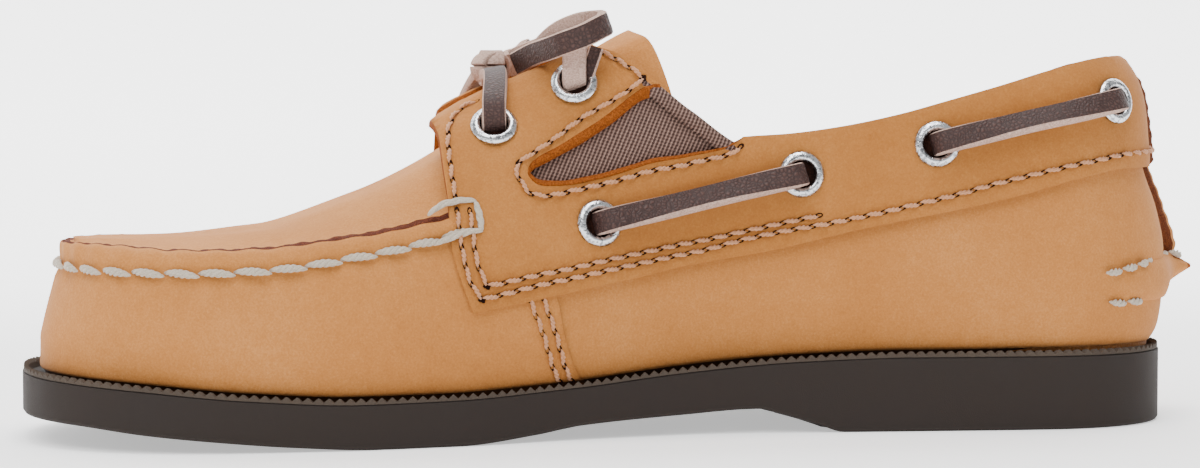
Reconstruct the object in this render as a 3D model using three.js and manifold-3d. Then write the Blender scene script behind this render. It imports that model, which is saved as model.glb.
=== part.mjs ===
// Boat shoe, right foot, in millimetres.
// +X points to the toe, +Y to the medial side, +Z up.
// The origin lies on the floor under the middle of the heel.

import * as THREE from 'three';
import { mergeVertices } from 'three/addons/utils/BufferGeometryUtils.js';
import Module from 'manifold-3d';

const wasm = await Module();
wasm.setup();

// Sole
const LENGTH = 220;
const HEEL_BACK = 30;
const BALL_WIDTH = 81;
const HEEL_STACK = 14.3;
const ARCH = 4.9;
const SOLE_EDGE_ROUND = 0.6;
const RIM_HEIGHT = 0.8;
const RIM_WIDTH = 1.2;
const PARTING_DROP = 1.4;
const PARTING_STEP = 0.25;

// Upper
const COLLAR_HEIGHT = 71;
const WELT_TOE = 3.9;
const WELT_HEEL = 2.2;
const TOE_RAKE = 5.5;
const TOE_WALL = 6;
const LATERAL_DROP = 5.5;
const LEATHER = 1.8;
const LAP_STEP = 0.7;
const LIP_PROUD = 1.5;
const LIP_HEIGHT = 4.6;
const LIP_RISE = 0.9;
const LIP_INSET = 3.2;
const THROAT_FRONT = 8;
const THROAT_REAR = 13;

// Places along the shoe, as shares of LENGTH from the origin, and heights as shares of COLLAR_HEIGHT
const THROAT_START = 0.20;
const THROAT_WIDE_TO = 0.33;
const THROAT_NARROW_FROM = 0.51;
const THROAT_END = 0.508;
const FACING_END = 0.60;
const THROAT_FLOOR = 0.62;
const LIP_START = 0.512;
const COLLAR_CORNER = 0.259;
const COLLAR_CUT_END = 0.42;
const LATERAL_DROP_END = 0.46;
const TOE_TOP = 0.52;

// Overlays, tongue, gore, insole
const OVERLAY = 1.6;
const FACING_FLARE = 6;
const TONGUE_THICK = 2.2;
const TONGUE_HALF = 18;
const GORE_THICK = 1.4;
const INSOLE_THICK = 3;
const KICKER_THICK = 2;
const TAIL_THICK = 4;
const GAP = 0.3;

// Eyelets and lace
const EYELET_RADIUS = 4.4;
const EYELET_HOLE = 2.6;
const BARREL_WALL = 0.5;
const FLANGE_THICK = 0.9;
const FLANGE_STAND = 0.4;
const LACE_WIDTH = 4.4;
const LACE_THICK = 2.0;
const LACE_ROLL = 33;
const LACE_CLEAR = 0.6;
const BOW_THICK = 1.9;
const KNOT = { length: 9.5, width: 8, height: 7.5, up: 1.2 };

// How finely the curves are stepped
const STATIONS = 31;
const WALL_STEPS = 8;
const EYELET_SIDES = 9;
const FRONT_STEPS = 8;
const UNDER_STEPS = 14;

// Plan and edge of the sole. at: share of LENGTH from the heel. centre, half: shares of BALL_WIDTH.
// top: share of HEEL_STACK.
const SOLE = [
  { at: 0.00, centre: 0.000, half: 0.341, top: 1.000 },
  { at: 0.13, centre: 0.000, half: 0.347, top: 1.000 },
  { at: 0.25, centre: -0.014, half: 0.344, top: 1.000 },
  { at: 0.35, centre: -0.038, half: 0.347, top: 0.952 },
  { at: 0.45, centre: -0.058, half: 0.373, top: 0.835 },
  { at: 0.55, centre: -0.056, half: 0.428, top: 0.690 },
  { at: 0.65, centre: -0.035, half: 0.484, top: 0.607 },
  { at: 0.73, centre: -0.015, half: 0.500, top: 0.594 },
  { at: 0.82, centre: 0.009, half: 0.488, top: 0.670 },
  { at: 0.90, centre: 0.035, half: 0.469, top: 0.783 },
  { at: 1.00, centre: 0.069, half: 0.446, top: 0.900 },
];

// Underside of the sole: heel, breast, arch, tread and toe spring. rise: share of ARCH.
const UNDER = [
  { at: 0.00, rise: 0.00 },
  { at: 0.31, rise: 0.00 },
  { at: 0.335, rise: 0.34 },
  { at: 0.36, rise: 0.66 },
  { at: 0.385, rise: 0.93 },
  { at: 0.45, rise: 0.77 },
  { at: 0.54, rise: 0.53 },
  { at: 0.58, rise: 0.26 },
  { at: 0.645, rise: 0.00 },
  { at: 0.715, rise: 0.00 },
  { at: 0.78, rise: 0.15 },
  { at: 0.84, rise: 0.38 },
  { at: 0.90, rise: 0.63 },
  { at: 0.95, rise: 0.88 },
  { at: 1.00, rise: 1.00 },
];

// Sections of the last. Halves are shares of half the ball width, heights are shares of COLLAR_HEIGHT.
// foot, belly, knee, crest: half widths going up the wall. crown: height of the ridge.
// ridge: side shift of the ridge. flare: share of FACING_FLARE by which the facings stand off there.
const LAST = [
  { at: 0.00, foot: 0.60, belly: 0.680, bellyUp: 0.42, knee: 0.61, kneeUp: 0.70,
    crest: 0.51, crestUp: 1.01, crown: 1.18, ridge: 0.00, flare: 0 },
  { at: 0.083, foot: 0.60, belly: 0.680, bellyUp: 0.42, knee: 0.61, kneeUp: 0.70,
    crest: 0.51, crestUp: 1.00, crown: 1.18, ridge: 0.00, flare: 0 },
  { at: 0.174, foot: 0.60, belly: 0.640, bellyUp: 0.41, knee: 0.57, kneeUp: 0.67,
    crest: 0.485, crestUp: 0.93, crown: 1.16, ridge: 0.00, flare: 0 },
  { at: 0.29, foot: 0.58, belly: 0.600, bellyUp: 0.38, knee: 0.535, kneeUp: 0.60,
    crest: 0.47, crestUp: 0.84, crown: 1.15, ridge: 0.00, flare: 0 },
  { at: 0.39, foot: 0.59, belly: 0.600, bellyUp: 0.35, knee: 0.54, kneeUp: 0.55,
    crest: 0.46, crestUp: 0.82, crown: 1.18, ridge: 0.00, flare: 0 },
  { at: 0.445, foot: 0.63, belly: 0.640, bellyUp: 0.34, knee: 0.565, kneeUp: 0.535,
    crest: 0.435, crestUp: 0.90, crown: 1.16, ridge: 0.01, flare: 0 },
  { at: 0.49, foot: 0.68, belly: 0.690, bellyUp: 0.32, knee: 0.605, kneeUp: 0.535,
    crest: 0.395, crestUp: 0.955, crown: 1.09, ridge: 0.02, flare: 0 },
  { at: 0.527, foot: 0.73, belly: 0.735, bellyUp: 0.31, knee: 0.64, kneeUp: 0.535,
    crest: 0.35, crestUp: 0.95, crown: 1.025, ridge: 0.02, flare: 0 },
  { at: 0.568, foot: 0.78, belly: 0.790, bellyUp: 0.30, knee: 0.69, kneeUp: 0.53,
    crest: 0.36, crestUp: 0.885, crown: 0.945, ridge: 0.02, flare: 0.15 },
  { at: 0.609, foot: 0.82, belly: 0.835, bellyUp: 0.29, knee: 0.735, kneeUp: 0.525,
    crest: 0.375, crestUp: 0.80, crown: 0.855, ridge: 0.02, flare: 0.55 },
  { at: 0.65, foot: 0.855, belly: 0.875, bellyUp: 0.28, knee: 0.745, kneeUp: 0.540,
    crest: 0.395, crestUp: 0.715, crown: 0.75, ridge: 0.02, flare: 1 },
  { at: 0.727, foot: 0.885, belly: 0.920, bellyUp: 0.28, knee: 0.78, kneeUp: 0.520,
    crest: 0.43, crestUp: 0.610, crown: 0.632, ridge: 0.02, flare: 1 },
  { at: 0.818, foot: 0.865, belly: 0.900, bellyUp: 0.29, knee: 0.775, kneeUp: 0.488,
    crest: 0.42, crestUp: 0.535, crown: 0.543, ridge: 0.03, flare: 1 },
  { at: 0.909, foot: 0.82, belly: 0.840, bellyUp: 0.30, knee: 0.72, kneeUp: 0.490,
    crest: 0.37, crestUp: 0.515, crown: 0.52, ridge: 0.07, flare: 1 },
  { at: 1.00, foot: 0.77, belly: 0.790, bellyUp: 0.31, knee: 0.67, kneeUp: 0.500,
    crest: 0.35, crestUp: 0.518, crown: 0.52, ridge: 0.13, flare: 1 },
];

// Curve of the back of the heel. up: share of the height over the sole. out: share of BALL_WIDTH.
const BACK_CURVE = [
  { at: 0.00, out: 0.000 },
  { at: 0.08, out: 0.030 },
  { at: 0.19, out: 0.040 },
  { at: 0.33, out: 0.043 },
  { at: 0.47, out: 0.025 },
  { at: 0.63, out: -0.013 },
  { at: 0.82, out: -0.026 },
  { at: 0.905, out: -0.045 },
  { at: 0.95, out: -0.066 },
  { at: 1.00, out: -0.098 },
  { at: 1.20, out: -0.240 },
];

// Collar of the quarters, side view. at: share of LENGTH. up: share of COLLAR_HEIGHT.
const COLLAR = [
  { at: 0.00, up: 0.99 },
  { at: 0.05, up: 1.00 },
  { at: 0.08, up: 0.99 },
  { at: 0.12, up: 0.961 },
  { at: 0.17, up: 0.914 },
  { at: 0.21, up: 0.879 },
  { at: 0.26, up: 0.837 },
  { at: 0.31, up: 0.806 },
  { at: 0.355, up: 0.788 },
  { at: 0.40, up: 0.779 },
  { at: 0.42, up: 0.765 },
  { at: 0.44, up: 0.795 },
  { at: 0.466, up: 0.860 },
  { at: 0.485, up: 0.930 },
  { at: 0.50, up: 1.00 },
  { at: 0.53, up: 1.05 },
  { at: 0.56, up: 1.30 },
  { at: 1.00, up: 1.30 },
];

// Outline of the medial saddle, side view, from its lower front corner round to the collar and back.
// x: share of LENGTH from the origin. z: share of COLLAR_HEIGHT.
const SADDLE_FRONT = [
  { x: 0.497, z: 0.336 },
  { x: 0.505, z: 0.404 },
  { x: 0.513, z: 0.487 },
  { x: 0.518, z: 0.570 },
  { x: 0.521, z: 0.650 },
  { x: 0.523, z: 0.740 },
  { x: 0.521, z: 0.832 },
];
const SADDLE_TOP = [
  { x: 0.505, z: 0.872 },
  { x: 0.489, z: 0.885 },
  { x: 0.440, z: 0.955 },
  { x: 0.391, z: 1.040 },
  { x: 0.372, z: 1.015 },
  { x: 0.330, z: 0.921 },
];
const GORE_CUT = [
  { x: 0.330, z: 0.921 },
  { x: 0.444, z: 0.713 },
  { x: 0.447, z: 0.690 },
  { x: 0.440, z: 0.663 },
  { x: 0.422, z: 0.657 },
  { x: 0.395, z: 0.667 },
  { x: 0.343, z: 0.711 },
  { x: 0.296, z: 0.737 },
  { x: 0.274, z: 0.752 },
  { x: 0.259, z: 0.779 },
];
const SADDLE_UNDER = [
  { x: -0.165, z: 0.695 },
  { x: -0.072, z: 0.692 },
  { x: -0.033, z: 0.669 },
  { x: 0.019, z: 0.625 },
  { x: 0.070, z: 0.589 },
  { x: 0.156, z: 0.537 },
  { x: 0.251, z: 0.472 },
  { x: 0.296, z: 0.451 },
  { x: 0.399, z: 0.390 },
  { x: 0.497, z: 0.336 },
];

// Elastic gore, side view: larger than the cut-out, so that its margins lie under the saddle.
const GORE = [
  { x: 0.262, z: 0.735 },
  { x: 0.296, z: 0.705 },
  { x: 0.343, z: 0.678 },
  { x: 0.395, z: 0.634 },
  { x: 0.425, z: 0.622 },
  { x: 0.455, z: 0.640 },
  { x: 0.462, z: 0.690 },
  { x: 0.456, z: 0.735 },
  { x: 0.400, z: 0.835 },
  { x: 0.352, z: 0.925 },
  { x: 0.330, z: 0.885 },
  { x: 0.300, z: 0.810 },
];

// Vamp lap: slanted rear edge of the vamp wall. Top and bottom points.
const LAP = { topX: 0.4245, topZ: 0.373, footX: 0.398, footZ: 0.10 };

// Side eyelets of the medial side: x share of LENGTH, z share of COLLAR_HEIGHT.
const EYELETS = [
  { name: 'throat_front', x: 0.472, z: 0.810 },
  { name: 'throat_rear', x: 0.402, z: 0.921 },
  { name: 'strap_front', x: 0.387, z: 0.558 },
  { name: 'strap_middle', x: 0.209, z: 0.680 },
  { name: 'strap_back', x: 0.091, z: 0.759 },
  { name: 'collar_back', x: -0.070, z: 0.873 },
];

// Band of the heel kicker, side view, x share of LENGTH from the origin and z share of COLLAR_HEIGHT.
const KICKER = [
  { x: -0.050, z: 0.350 },
  { x: -0.054, z: 0.395 },
  { x: -0.077, z: 0.416 },
  { x: -0.098, z: 0.430 },
  { x: -0.200, z: 0.450 },
  { x: -0.200, z: 0.320 },
  { x: -0.098, z: 0.330 },
  { x: -0.058, z: 0.330 },
];

// Routes of the two bow loops, in millimetres from the middle of the knot.
const BOW_NEAR = [
  { x: -5.0, y: 4.4, z: 0.9 },
  { x: -7.3, y: 11.5, z: 2.6 },
  { x: -9.4, y: 18.6, z: 3.6 },
  { x: -11.6, y: 22.4, z: 4.6 },
  { x: -14.8, y: 23.4, z: 5.8 },
  { x: -17.6, y: 22.6, z: 7.2 },
  { x: -19.2, y: 20.9, z: 8.0 },
  { x: -18.8, y: 18.8, z: 8.4 },
  { x: -15.5, y: 18.0, z: 8.2 },
  { x: -12.0, y: 15.2, z: 7.6 },
  { x: -9.0, y: 10.5, z: 6.6 },
  { x: -6.8, y: 5.5, z: 5.6 },
  { x: -5.0, y: 2.0, z: 4.6 },
];
const BOW_FAR = [
  { x: -5.0, y: -3.6, z: 0.6 },
  { x: -5.6, y: -8.0, z: 1.6 },
  { x: -5.8, y: -12.5, z: 1.2 },
  { x: -6.0, y: -16.5, z: -1.0 },
  { x: -7.0, y: -19.2, z: -2.6 },
  { x: -8.8, y: -19.2, z: -2.6 },
  { x: -9.8, y: -16.0, z: 1.0 },
  { x: -9.4, y: -12.0, z: 3.2 },
  { x: -8.6, y: -7.5, z: 3.4 },
  { x: -6.9, y: -3.6, z: 2.2 },
];

// Pinched tail of the back seam, standing out behind the band.
const TAIL = [
  { x: -0.125, z: 0.330 },
  { x: -0.148, z: 0.350 },
  { x: -0.166, z: 0.400 },
  { x: -0.163, z: 0.428 },
  { x: -0.146, z: 0.458 },
  { x: -0.125, z: 0.452 },
];

const V = (x, y, z) => new THREE.Vector3(x, y, z);
const clamp = THREE.MathUtils.clamp;
const SIDES = [
  { name: 'medial', sign: 1 },
  { name: 'lateral', sign: -1 },
];

// Smooth value of a table column: cubic pieces that never overshoot their rows.
function follow(rows, column, at) {
  const last = rows.length - 1;
  const t = clamp(at, rows[0].at, rows[last].at);
  let i = 0;
  while (i < last - 1 && rows[i + 1].at < t) i += 1;
  const slope = (k) => (rows[k + 1][column] - rows[k][column]) / (rows[k + 1].at - rows[k].at);
  const tangent = (k) => {
    if (k === 0) return slope(0);
    if (k === last) return slope(last - 1);
    const a = slope(k - 1);
    const b = slope(k);
    return a * b > 0 ? (2 * a * b) / (a + b) : 0;
  };
  const width = rows[i + 1].at - rows[i].at;
  const u = (t - rows[i].at) / width;
  const from = rows[i][column];
  const to = rows[i + 1][column];
  const rise = u * u * (3 - 2 * u);
  return from + (to - from) * rise
    + width * (tangent(i) * u * (1 - u) * (1 - u) - tangent(i + 1) * u * u * (1 - u));
}

// Roundness of the plan at both ends: 0 at the tips, 1 along the middle.
function roundness(at) {
  const HEEL = { reach: 0.13, power: 2.25 };
  const TOE = { reach: 0.20, power: 2.35 };
  if (at < HEEL.reach) return (1 - (1 - at / HEEL.reach) ** HEEL.power) ** (1 / HEEL.power);
  if (at > 1 - TOE.reach) {
    return Math.max(0, 1 - ((at - 1 + TOE.reach) / TOE.reach) ** TOE.power) ** (1 / TOE.power);
  }
  return 1;
}

const atOf = (x) => clamp((x + HEEL_BACK) / LENGTH, 0, 1);
const soleTop = (x) => HEEL_STACK * follow(SOLE, 'top', atOf(x));
const soleUnder = (x) => ARCH * follow(UNDER, 'rise', atOf(x));
const centreLine = (at) => BALL_WIDTH * follow(SOLE, 'centre', at);

// Stations from heel to toe, closer together at both ends.
const stations = Array.from({ length: STATIONS + 1 }, (_, i) => {
  const even = i / STATIONS;
  const eased = (1 - Math.cos(Math.PI * even)) / 2;
  return 0.35 * even + 0.65 * eased;
});

// Solids and geometry

function toSolid(geometry) {
  const bare = geometry.clone();
  bare.deleteAttribute('normal');
  bare.deleteAttribute('uv');
  const merged = mergeVertices(bare, 1e-4);
  const index = merged.index.array;
  const kept = [];
  for (let i = 0; i < index.length; i += 3) {
    const [a, b, c] = [index[i], index[i + 1], index[i + 2]];
    if (a !== b && b !== c && c !== a) kept.push(a, b, c);
  }
  return new wasm.Manifold(new wasm.Mesh({
    numProp: 3,
    vertProperties: new Float32Array(merged.attributes.position.array),
    triVerts: new Uint32Array(kept),
  }));
}

function toGeometry(solid) {
  const mesh = solid.getMesh();
  const geometry = new THREE.BufferGeometry();
  geometry.setAttribute('position', new THREE.BufferAttribute(new Float32Array(mesh.vertProperties), 3));
  geometry.setIndex(new THREE.BufferAttribute(new Uint32Array(mesh.triVerts), 1));
  geometry.computeVertexNormals();
  return geometry;
}

// Skin over closed rings of equal length. Rings at the two ends may be shrunk to a line or filled.
function skin(rings, filled = false) {
  const count = rings[0].length;
  const points = rings.flat();
  const faces = [];
  for (let i = 0; i < rings.length - 1; i += 1) {
    for (let j = 0; j < count; j += 1) {
      const a = i * count + j;
      const b = i * count + ((j + 1) % count);
      faces.push(a, b, a + count, b, b + count, a + count);
    }
  }
  if (filled) {
    const end = (rings.length - 1) * count;
    for (let j = 1; j < count - 1; j += 1) {
      faces.push(0, j + 1, j);
      faces.push(end, end + j, end + j + 1);
    }
  }
  const geometry = new THREE.BufferGeometry();
  const numbers = points.flatMap((p) => [p.x, p.y, p.z]);
  geometry.setAttribute('position', new THREE.Float32BufferAttribute(numbers, 3));
  geometry.setIndex(faces);
  return geometry;
}

// A solid between two height fields over a rectangle, for cutting.
function slab(xs, ys, low, high, across = (x, y) => y) {
  const rings = xs.map((x) => {
    const under = ys.map((y) => V(x, across(x, y), low(x, y)));
    const over = ys.map((y) => V(x, across(x, y), high(x, y))).reverse();
    return [...under, ...over];
  });
  const count = 2 * ys.length;
  const geometry = skin(rings);
  const faces = Array.from(geometry.index.array);
  const end = (xs.length - 1) * count;
  for (let j = 0; j < ys.length - 1; j += 1) {
    const k = count - 1 - j;
    faces.push(j, k, j + 1, j + 1, k, k - 1);
    faces.push(end + j, end + j + 1, end + k, end + j + 1, end + k - 1, end + k);
  }
  geometry.setIndex(faces);
  return toSolid(geometry);
}

const steps = (from, to, count) => (
  Array.from({ length: count + 1 }, (_, i) => from + ((to - from) * i) / count));

// A side-view outline made into a bar along Y, from one y to another.
function sideBar(points, fromY, toY) {
  const shape = new THREE.Shape(points.map((p) => new THREE.Vector2(p.x, p.y)));
  const bar = new THREE.ExtrudeGeometry(shape, { depth: toY - fromY, bevelEnabled: false });
  bar.rotateX(Math.PI / 2);
  bar.translate(0, toY, 0);
  return toSolid(bar);
}

// Rows of x and z shares as points in millimetres.
const outline = (rows, drop = () => 0) => rows.map((row) => {
  const x = row.x * LENGTH;
  return new THREE.Vector2(x, row.z * COLLAR_HEIGHT - drop(x));
});
const eased = (points, count) => new THREE.SplineCurve(points).getPoints(count);

// The last

const alongLast = (at) => -HEEL_BACK + WELT_HEEL + at * (LENGTH - WELT_HEEL - WELT_TOE);

// Half width and height of the section at one station, by share v up the wall from foot to ridge.
function section(at, v, lift) {
  const half = (column) => (BALL_WIDTH / 2) * follow(LAST, column, at);
  const up = (column) => COLLAR_HEIGHT * follow(LAST, column, at);
  const raised = lift * FACING_FLARE * follow(LAST, 'flare', at);
  const crest = { at: 0.6, y: half('crest'), z: up('crestUp') + raised };
  const crown = up('crown') + raised;
  const foot = { y: half('foot'), z: soleTop(alongLast(at)) };
  const belly = { y: half('belly'), z: up('bellyUp') };
  const rows = [
    { at: 0, ...foot },
    { at: 0.07, y: foot.y + 0.65 * (belly.y - foot.y), z: foot.z + 0.18 * (belly.z - foot.z) },
    { at: 0.2, ...belly },
    { at: 0.4, y: half('knee'), z: up('kneeUp') },
    crest,
    { at: 0.8, y: 0.6 * crest.y, z: crest.z + 0.8 * (crown - crest.z) },
    { at: 1, y: 0, z: crown },
  ];
  return { y: follow(rows, 'y', v), z: follow(rows, 'z', v) };
}

// Point of the last's skin, grown outwards by grow. sign is 1 on the medial side, -1 on the lateral.
function skinPoint(at, v, sign, grow = 0, lift = 0) {
  const cut = section(at, v, lift);
  const round = roundness(at);
  const up = (cut.z - HEEL_STACK) / (COLLAR_HEIGHT - HEEL_STACK);
  const back = BALL_WIDTH * follow(BACK_CURVE, 'out', up) * (1 - at) ** 9;
  const rakeFrom = soleTop(LENGTH - HEEL_BACK) + TOE_WALL;
  const raked = Math.max(0, (cut.z - rakeFrom) / (TOE_TOP * COLLAR_HEIGHT - rakeFrom)) ** 1.1;
  const rake = TOE_RAKE * raked * at ** 12;
  const x = alongLast(at) - back - rake + grow * (2 * at - 1) ** 9;
  const lean = clamp((cut.z - soleTop(x)) / (0.6 * COLLAR_HEIGHT), 0, 1);
  const centre = (1 - lean) * centreLine(at) + lean * (BALL_WIDTH / 2) * follow(LAST, 'ridge', at);
  const steep = Math.sin((Math.PI / 2) * clamp((v - 0.4) / 0.5, 0, 1));
  const wide = cut.y > 0 ? cut.y + grow * (1 - 0.35 * steep) : 0;
  return V(x, centre + sign * wide * round, cut.z + grow * steep);
}

// The whole closed form of the last, grown by grow and reaching down to the floor.
const wallShares = steps(0, 1, WALL_STEPS);
function form(grow, lift = 0) {
  const rings = stations.map((at) => {
    const medial = wallShares.map((v) => skinPoint(at, v, 1, grow, lift));
    const lateral = wallShares.slice(0, -1).map((v) => skinPoint(at, v, -1, grow, lift)).reverse();
    const foot = (p) => V(p.x, p.y, -1);
    return [foot(medial[0]), ...medial, ...lateral, foot(lateral[lateral.length - 1])];
  });
  return toSolid(skin(rings));
}

// Place on the skin for a side-view x and z, with its outward direction.
function seat(x, z, sign, grow, lift = 0) {
  let at = atOf(x);
  let v = 0.4;
  for (let turn = 0; turn < 6; turn += 1) {
    let low = 0;
    let high = 0.95;
    for (let i = 0; i < 30; i += 1) {
      v = (low + high) / 2;
      if (skinPoint(at, v, sign, grow, lift).z < z) low = v;
      else high = v;
    }
    at = clamp(at + (x - skinPoint(at, v, sign, grow, lift).x) / LENGTH, 0.001, 0.999);
  }
  const point = skinPoint(at, v, sign, grow, lift);
  const along = skinPoint(at + 0.01, v, sign, grow, lift).sub(skinPoint(at - 0.01, v, sign, grow, lift));
  const upward = skinPoint(at, v + 0.03, sign, grow, lift).sub(skinPoint(at, v - 0.03, sign, grow, lift));
  const normal = along.clone().cross(upward).normalize();
  if (normal.y * sign < 0) normal.negate();
  return { point, normal, along: along.normalize(), upward: upward.normalize() };
}

// Sole

function soleRing(at) {
  const place = (inset, z, sign) => {
    const x = -HEEL_BACK + inset + at * (LENGTH - 2 * inset);
    const half = (BALL_WIDTH * follow(SOLE, 'half', at) - inset) * roundness(at);
    return V(x, centreLine(at) + sign * half, z(x));
  };
  const edge = [
    [SOLE_EDGE_ROUND, (x) => soleUnder(x)],
    [0, (x) => soleUnder(x) + SOLE_EDGE_ROUND],
    [0, (x) => soleTop(x) - PARTING_DROP],
    [PARTING_STEP, (x) => soleTop(x) - PARTING_DROP + PARTING_STEP],
    [PARTING_STEP, (x) => soleTop(x) + RIM_HEIGHT],
    [PARTING_STEP + RIM_WIDTH / 2, (x) => soleTop(x) + RIM_HEIGHT],
    [PARTING_STEP + RIM_WIDTH, (x) => soleTop(x)],
  ];
  const medial = edge.map(([inset, z]) => place(inset, z, 1));
  const lateral = edge.map(([inset, z]) => place(inset, z, -1)).reverse();
  return [...medial, ...lateral];
}
const outsole = toSolid(skin(stations.map(soleRing)));

// Cutters that several pieces share

const FAR = 150;
const collarDrop = (x, y) => {
  const across = clamp(0.5 - y / 16, 0, 1);
  const along = clamp((x + 22) / 24, 0, 1) * clamp((LATERAL_DROP_END * LENGTH - x) / 20, 0, 1);
  return LATERAL_DROP * across * across * (3 - 2 * across) * along;
};
const lateralDrop = (x) => collarDrop(x, -FAR);
const sideDrop = (sign) => (sign > 0 ? () => 0 : lateralDrop);
const planYs = [-FAR, -8, 0, 8, FAR];
const aboveCollar = slab(
  steps(-HEEL_BACK - 20, COLLAR_CUT_END * LENGTH, 24),
  planYs,
  (x, y) => COLLAR_HEIGHT * follow(COLLAR, 'up', atOf(x)) - collarDrop(x, y),
  () => FAR,
);
const overSole = (rise) => slab(
  steps(-HEEL_BACK - 20, LENGTH, 18),
  [-FAR, FAR],
  (x) => soleTop(x) + rise,
  () => FAR,
);
const aboveSole = overSole(GAP);
const ridgeY = (x) => (BALL_WIDTH / 2) * follow(LAST, 'ridge', atOf(x));
// The throat widens towards the ankle. In the upper it ends at the apron, in the saddles it runs out.
const throatHalf = (x) => {
  const along = (x / LENGTH - THROAT_WIDE_TO) / (THROAT_NARROW_FROM - THROAT_WIDE_TO);
  return THROAT_REAR + (THROAT_FRONT - THROAT_REAR) * clamp(along, 0, 1);
};
const throatTo = (front) => {
  const middle = ridgeY(THROAT_END * LENGTH);
  return slab(
    [THROAT_START * LENGTH, THROAT_WIDE_TO * LENGTH, front],
    [-1, 1],
    () => THROAT_FLOOR * COLLAR_HEIGHT,
    () => FAR,
    (x, side) => middle + side * throatHalf(x),
  );
};
const throat = throatTo(THROAT_END * LENGTH);
const facingGap = throatTo(FACING_END * LENGTH);

// Upper

const outer = form(0);
const inner = form(-LEATHER);

// Vamp wall: thicker in front of its lap. Proud parts stop short of the saddle.
const lapFront = outline([
  { x: LAP.footX, z: LAP.footZ },
  { x: 1, z: LAP.footZ },
  { x: 1, z: LAP.topZ + 0.1 },
  { x: LAP.topX, z: LAP.topZ + 0.1 },
]);
const vampWall = form(LAP_STEP).intersect(sideBar(lapFront, -FAR, FAR));

// Raised apron seam: a band that stands proud round the knee of the vamp.
const kneeZ = (x) => COLLAR_HEIGHT * follow(LAST, 'kneeUp', atOf(x));
const lipBand = slab(
  steps(LIP_START * LENGTH, LENGTH, 12),
  [-FAR, FAR],
  (x) => kneeZ(x) + LIP_RISE - LIP_HEIGHT,
  (x) => kneeZ(x) + LIP_RISE,
);
const lipCore = toSolid(skin(stations.map((at) => {
  const across = (sign) => {
    const knee = skinPoint(at, 0.4, sign, -LIP_INSET);
    return [V(knee.x, knee.y, 0), V(knee.x, knee.y, FAR)];
  };
  return [...across(1), ...across(-1).reverse()];
})));
const lip = form(LIP_PROUD).intersect(lipBand).subtract(lipCore);
const saddleZone = (sign) => {
  const drop = sideDrop(sign);
  const clear = 2 * GAP;
  const front = eased(outline(SADDLE_FRONT, drop), FRONT_STEPS);
  front.forEach((p) => p.setX(p.x + clear));
  const under = eased(outline(SADDLE_UNDER, drop), UNDER_STEPS);
  under.forEach((p) => p.setY(p.y - clear));
  const top = [new THREE.Vector2(front[FRONT_STEPS].x, FAR), new THREE.Vector2(under[0].x, FAR)];
  return sideBar([...front, ...top, ...under], sign > 0 ? 0 : -FAR, sign > 0 ? FAR : 0);
};
const proud = vampWall.add(lip).subtract(saddleZone(1)).subtract(saddleZone(-1));

const widened = (points, ease) => {
  const middle = points.reduce((sum, p) => sum.add(p), new THREE.Vector2()).divideScalar(points.length);
  return points.map((p) => p.clone().add(p.clone().sub(middle).normalize().multiplyScalar(ease)));
};
const goreWindow = (sign, ease) => {
  const points = widened(eased(outline([...GORE, GORE[0]], sideDrop(sign)), 30).slice(0, -1), ease);
  return sideBar(points, sign > 0 ? 2 : -FAR, sign > 0 ? FAR : -2);
};

// Saddles

const saddleOutline = (sign) => {
  const drop = sideDrop(sign);
  const front = eased(outline(SADDLE_FRONT, drop), FRONT_STEPS);
  const top = outline(SADDLE_TOP, drop);
  const cut = outline(GORE_CUT, drop);
  const nose = [cut[0], ...eased(cut.slice(1, 8), 12), cut[8], cut[9]];
  const collar = steps(COLLAR_CORNER * LENGTH, -HEEL_BACK - 12, UNDER_STEPS).map((x) => (
    new THREE.Vector2(x, COLLAR_HEIGHT * follow(COLLAR, 'up', atOf(x)) - drop(x))));
  const under = eased(outline(SADDLE_UNDER, drop), UNDER_STEPS);
  return [...front, ...top.slice(0, -1), ...nose, ...collar.slice(1), ...under.slice(0, -1)];
};
const saddleShell = form(GAP + OVERLAY, 1).subtract(form(GAP, 1));
const heelSplit = GAP / 2;
const saddleOf = (sign) => saddleShell
  .intersect(sideBar(saddleOutline(sign), sign > 0 ? heelSplit : -FAR, sign > 0 ? FAR : -heelSplit))
  .subtract(facingGap)
  .subtract(aboveCollar);

// Eyelets

const eyeletSeat = (row, sign) => {
  const x = row.x * LENGTH;
  return seat(x, row.z * COLLAR_HEIGHT - sideDrop(sign)(x), sign, GAP + OVERLAY, 1);
};
const turned = (geometry, frame, lift) => {
  const turn = new THREE.Quaternion().setFromUnitVectors(V(0, 1, 0), frame.normal);
  geometry.applyQuaternion(turn);
  const centre = frame.point.clone().addScaledVector(frame.normal, lift);
  return geometry.translate(centre.x, centre.y, centre.z);
};
const barrelRadius = EYELET_HOLE + BARREL_WALL;
const eyeletDepth = OVERLAY + GAP + LEATHER;
function eyeletGeometry(frame) {
  const profile = [
    [EYELET_HOLE, -eyeletDepth],
    [barrelRadius, -eyeletDepth],
    [barrelRadius, FLANGE_STAND],
    [EYELET_RADIUS, FLANGE_STAND],
    [EYELET_RADIUS - 0.3, FLANGE_STAND + 0.75 * FLANGE_THICK],
    [EYELET_HOLE + 0.7, FLANGE_STAND + FLANGE_THICK],
    [EYELET_HOLE, FLANGE_STAND],
    [EYELET_HOLE, -eyeletDepth],
  ].map(([r, y]) => new THREE.Vector2(r, y));
  return turned(new THREE.LatheGeometry(profile, EYELET_SIDES), frame, 0);
}
const drill = (frame) => toSolid(turned(
  new THREE.CylinderGeometry(barrelRadius + GAP, barrelRadius + GAP, 24, EYELET_SIDES), frame, 0,
));
const eyelets = SIDES.flatMap((side) => EYELETS.map((row) => ({
  name: `eyelet_${side.name}_${row.name}`,
  side,
  row,
  frame: eyeletSeat(row, side.sign),
})));
const drills = eyelets.map((eyelet) => drill(eyelet.frame));
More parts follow.
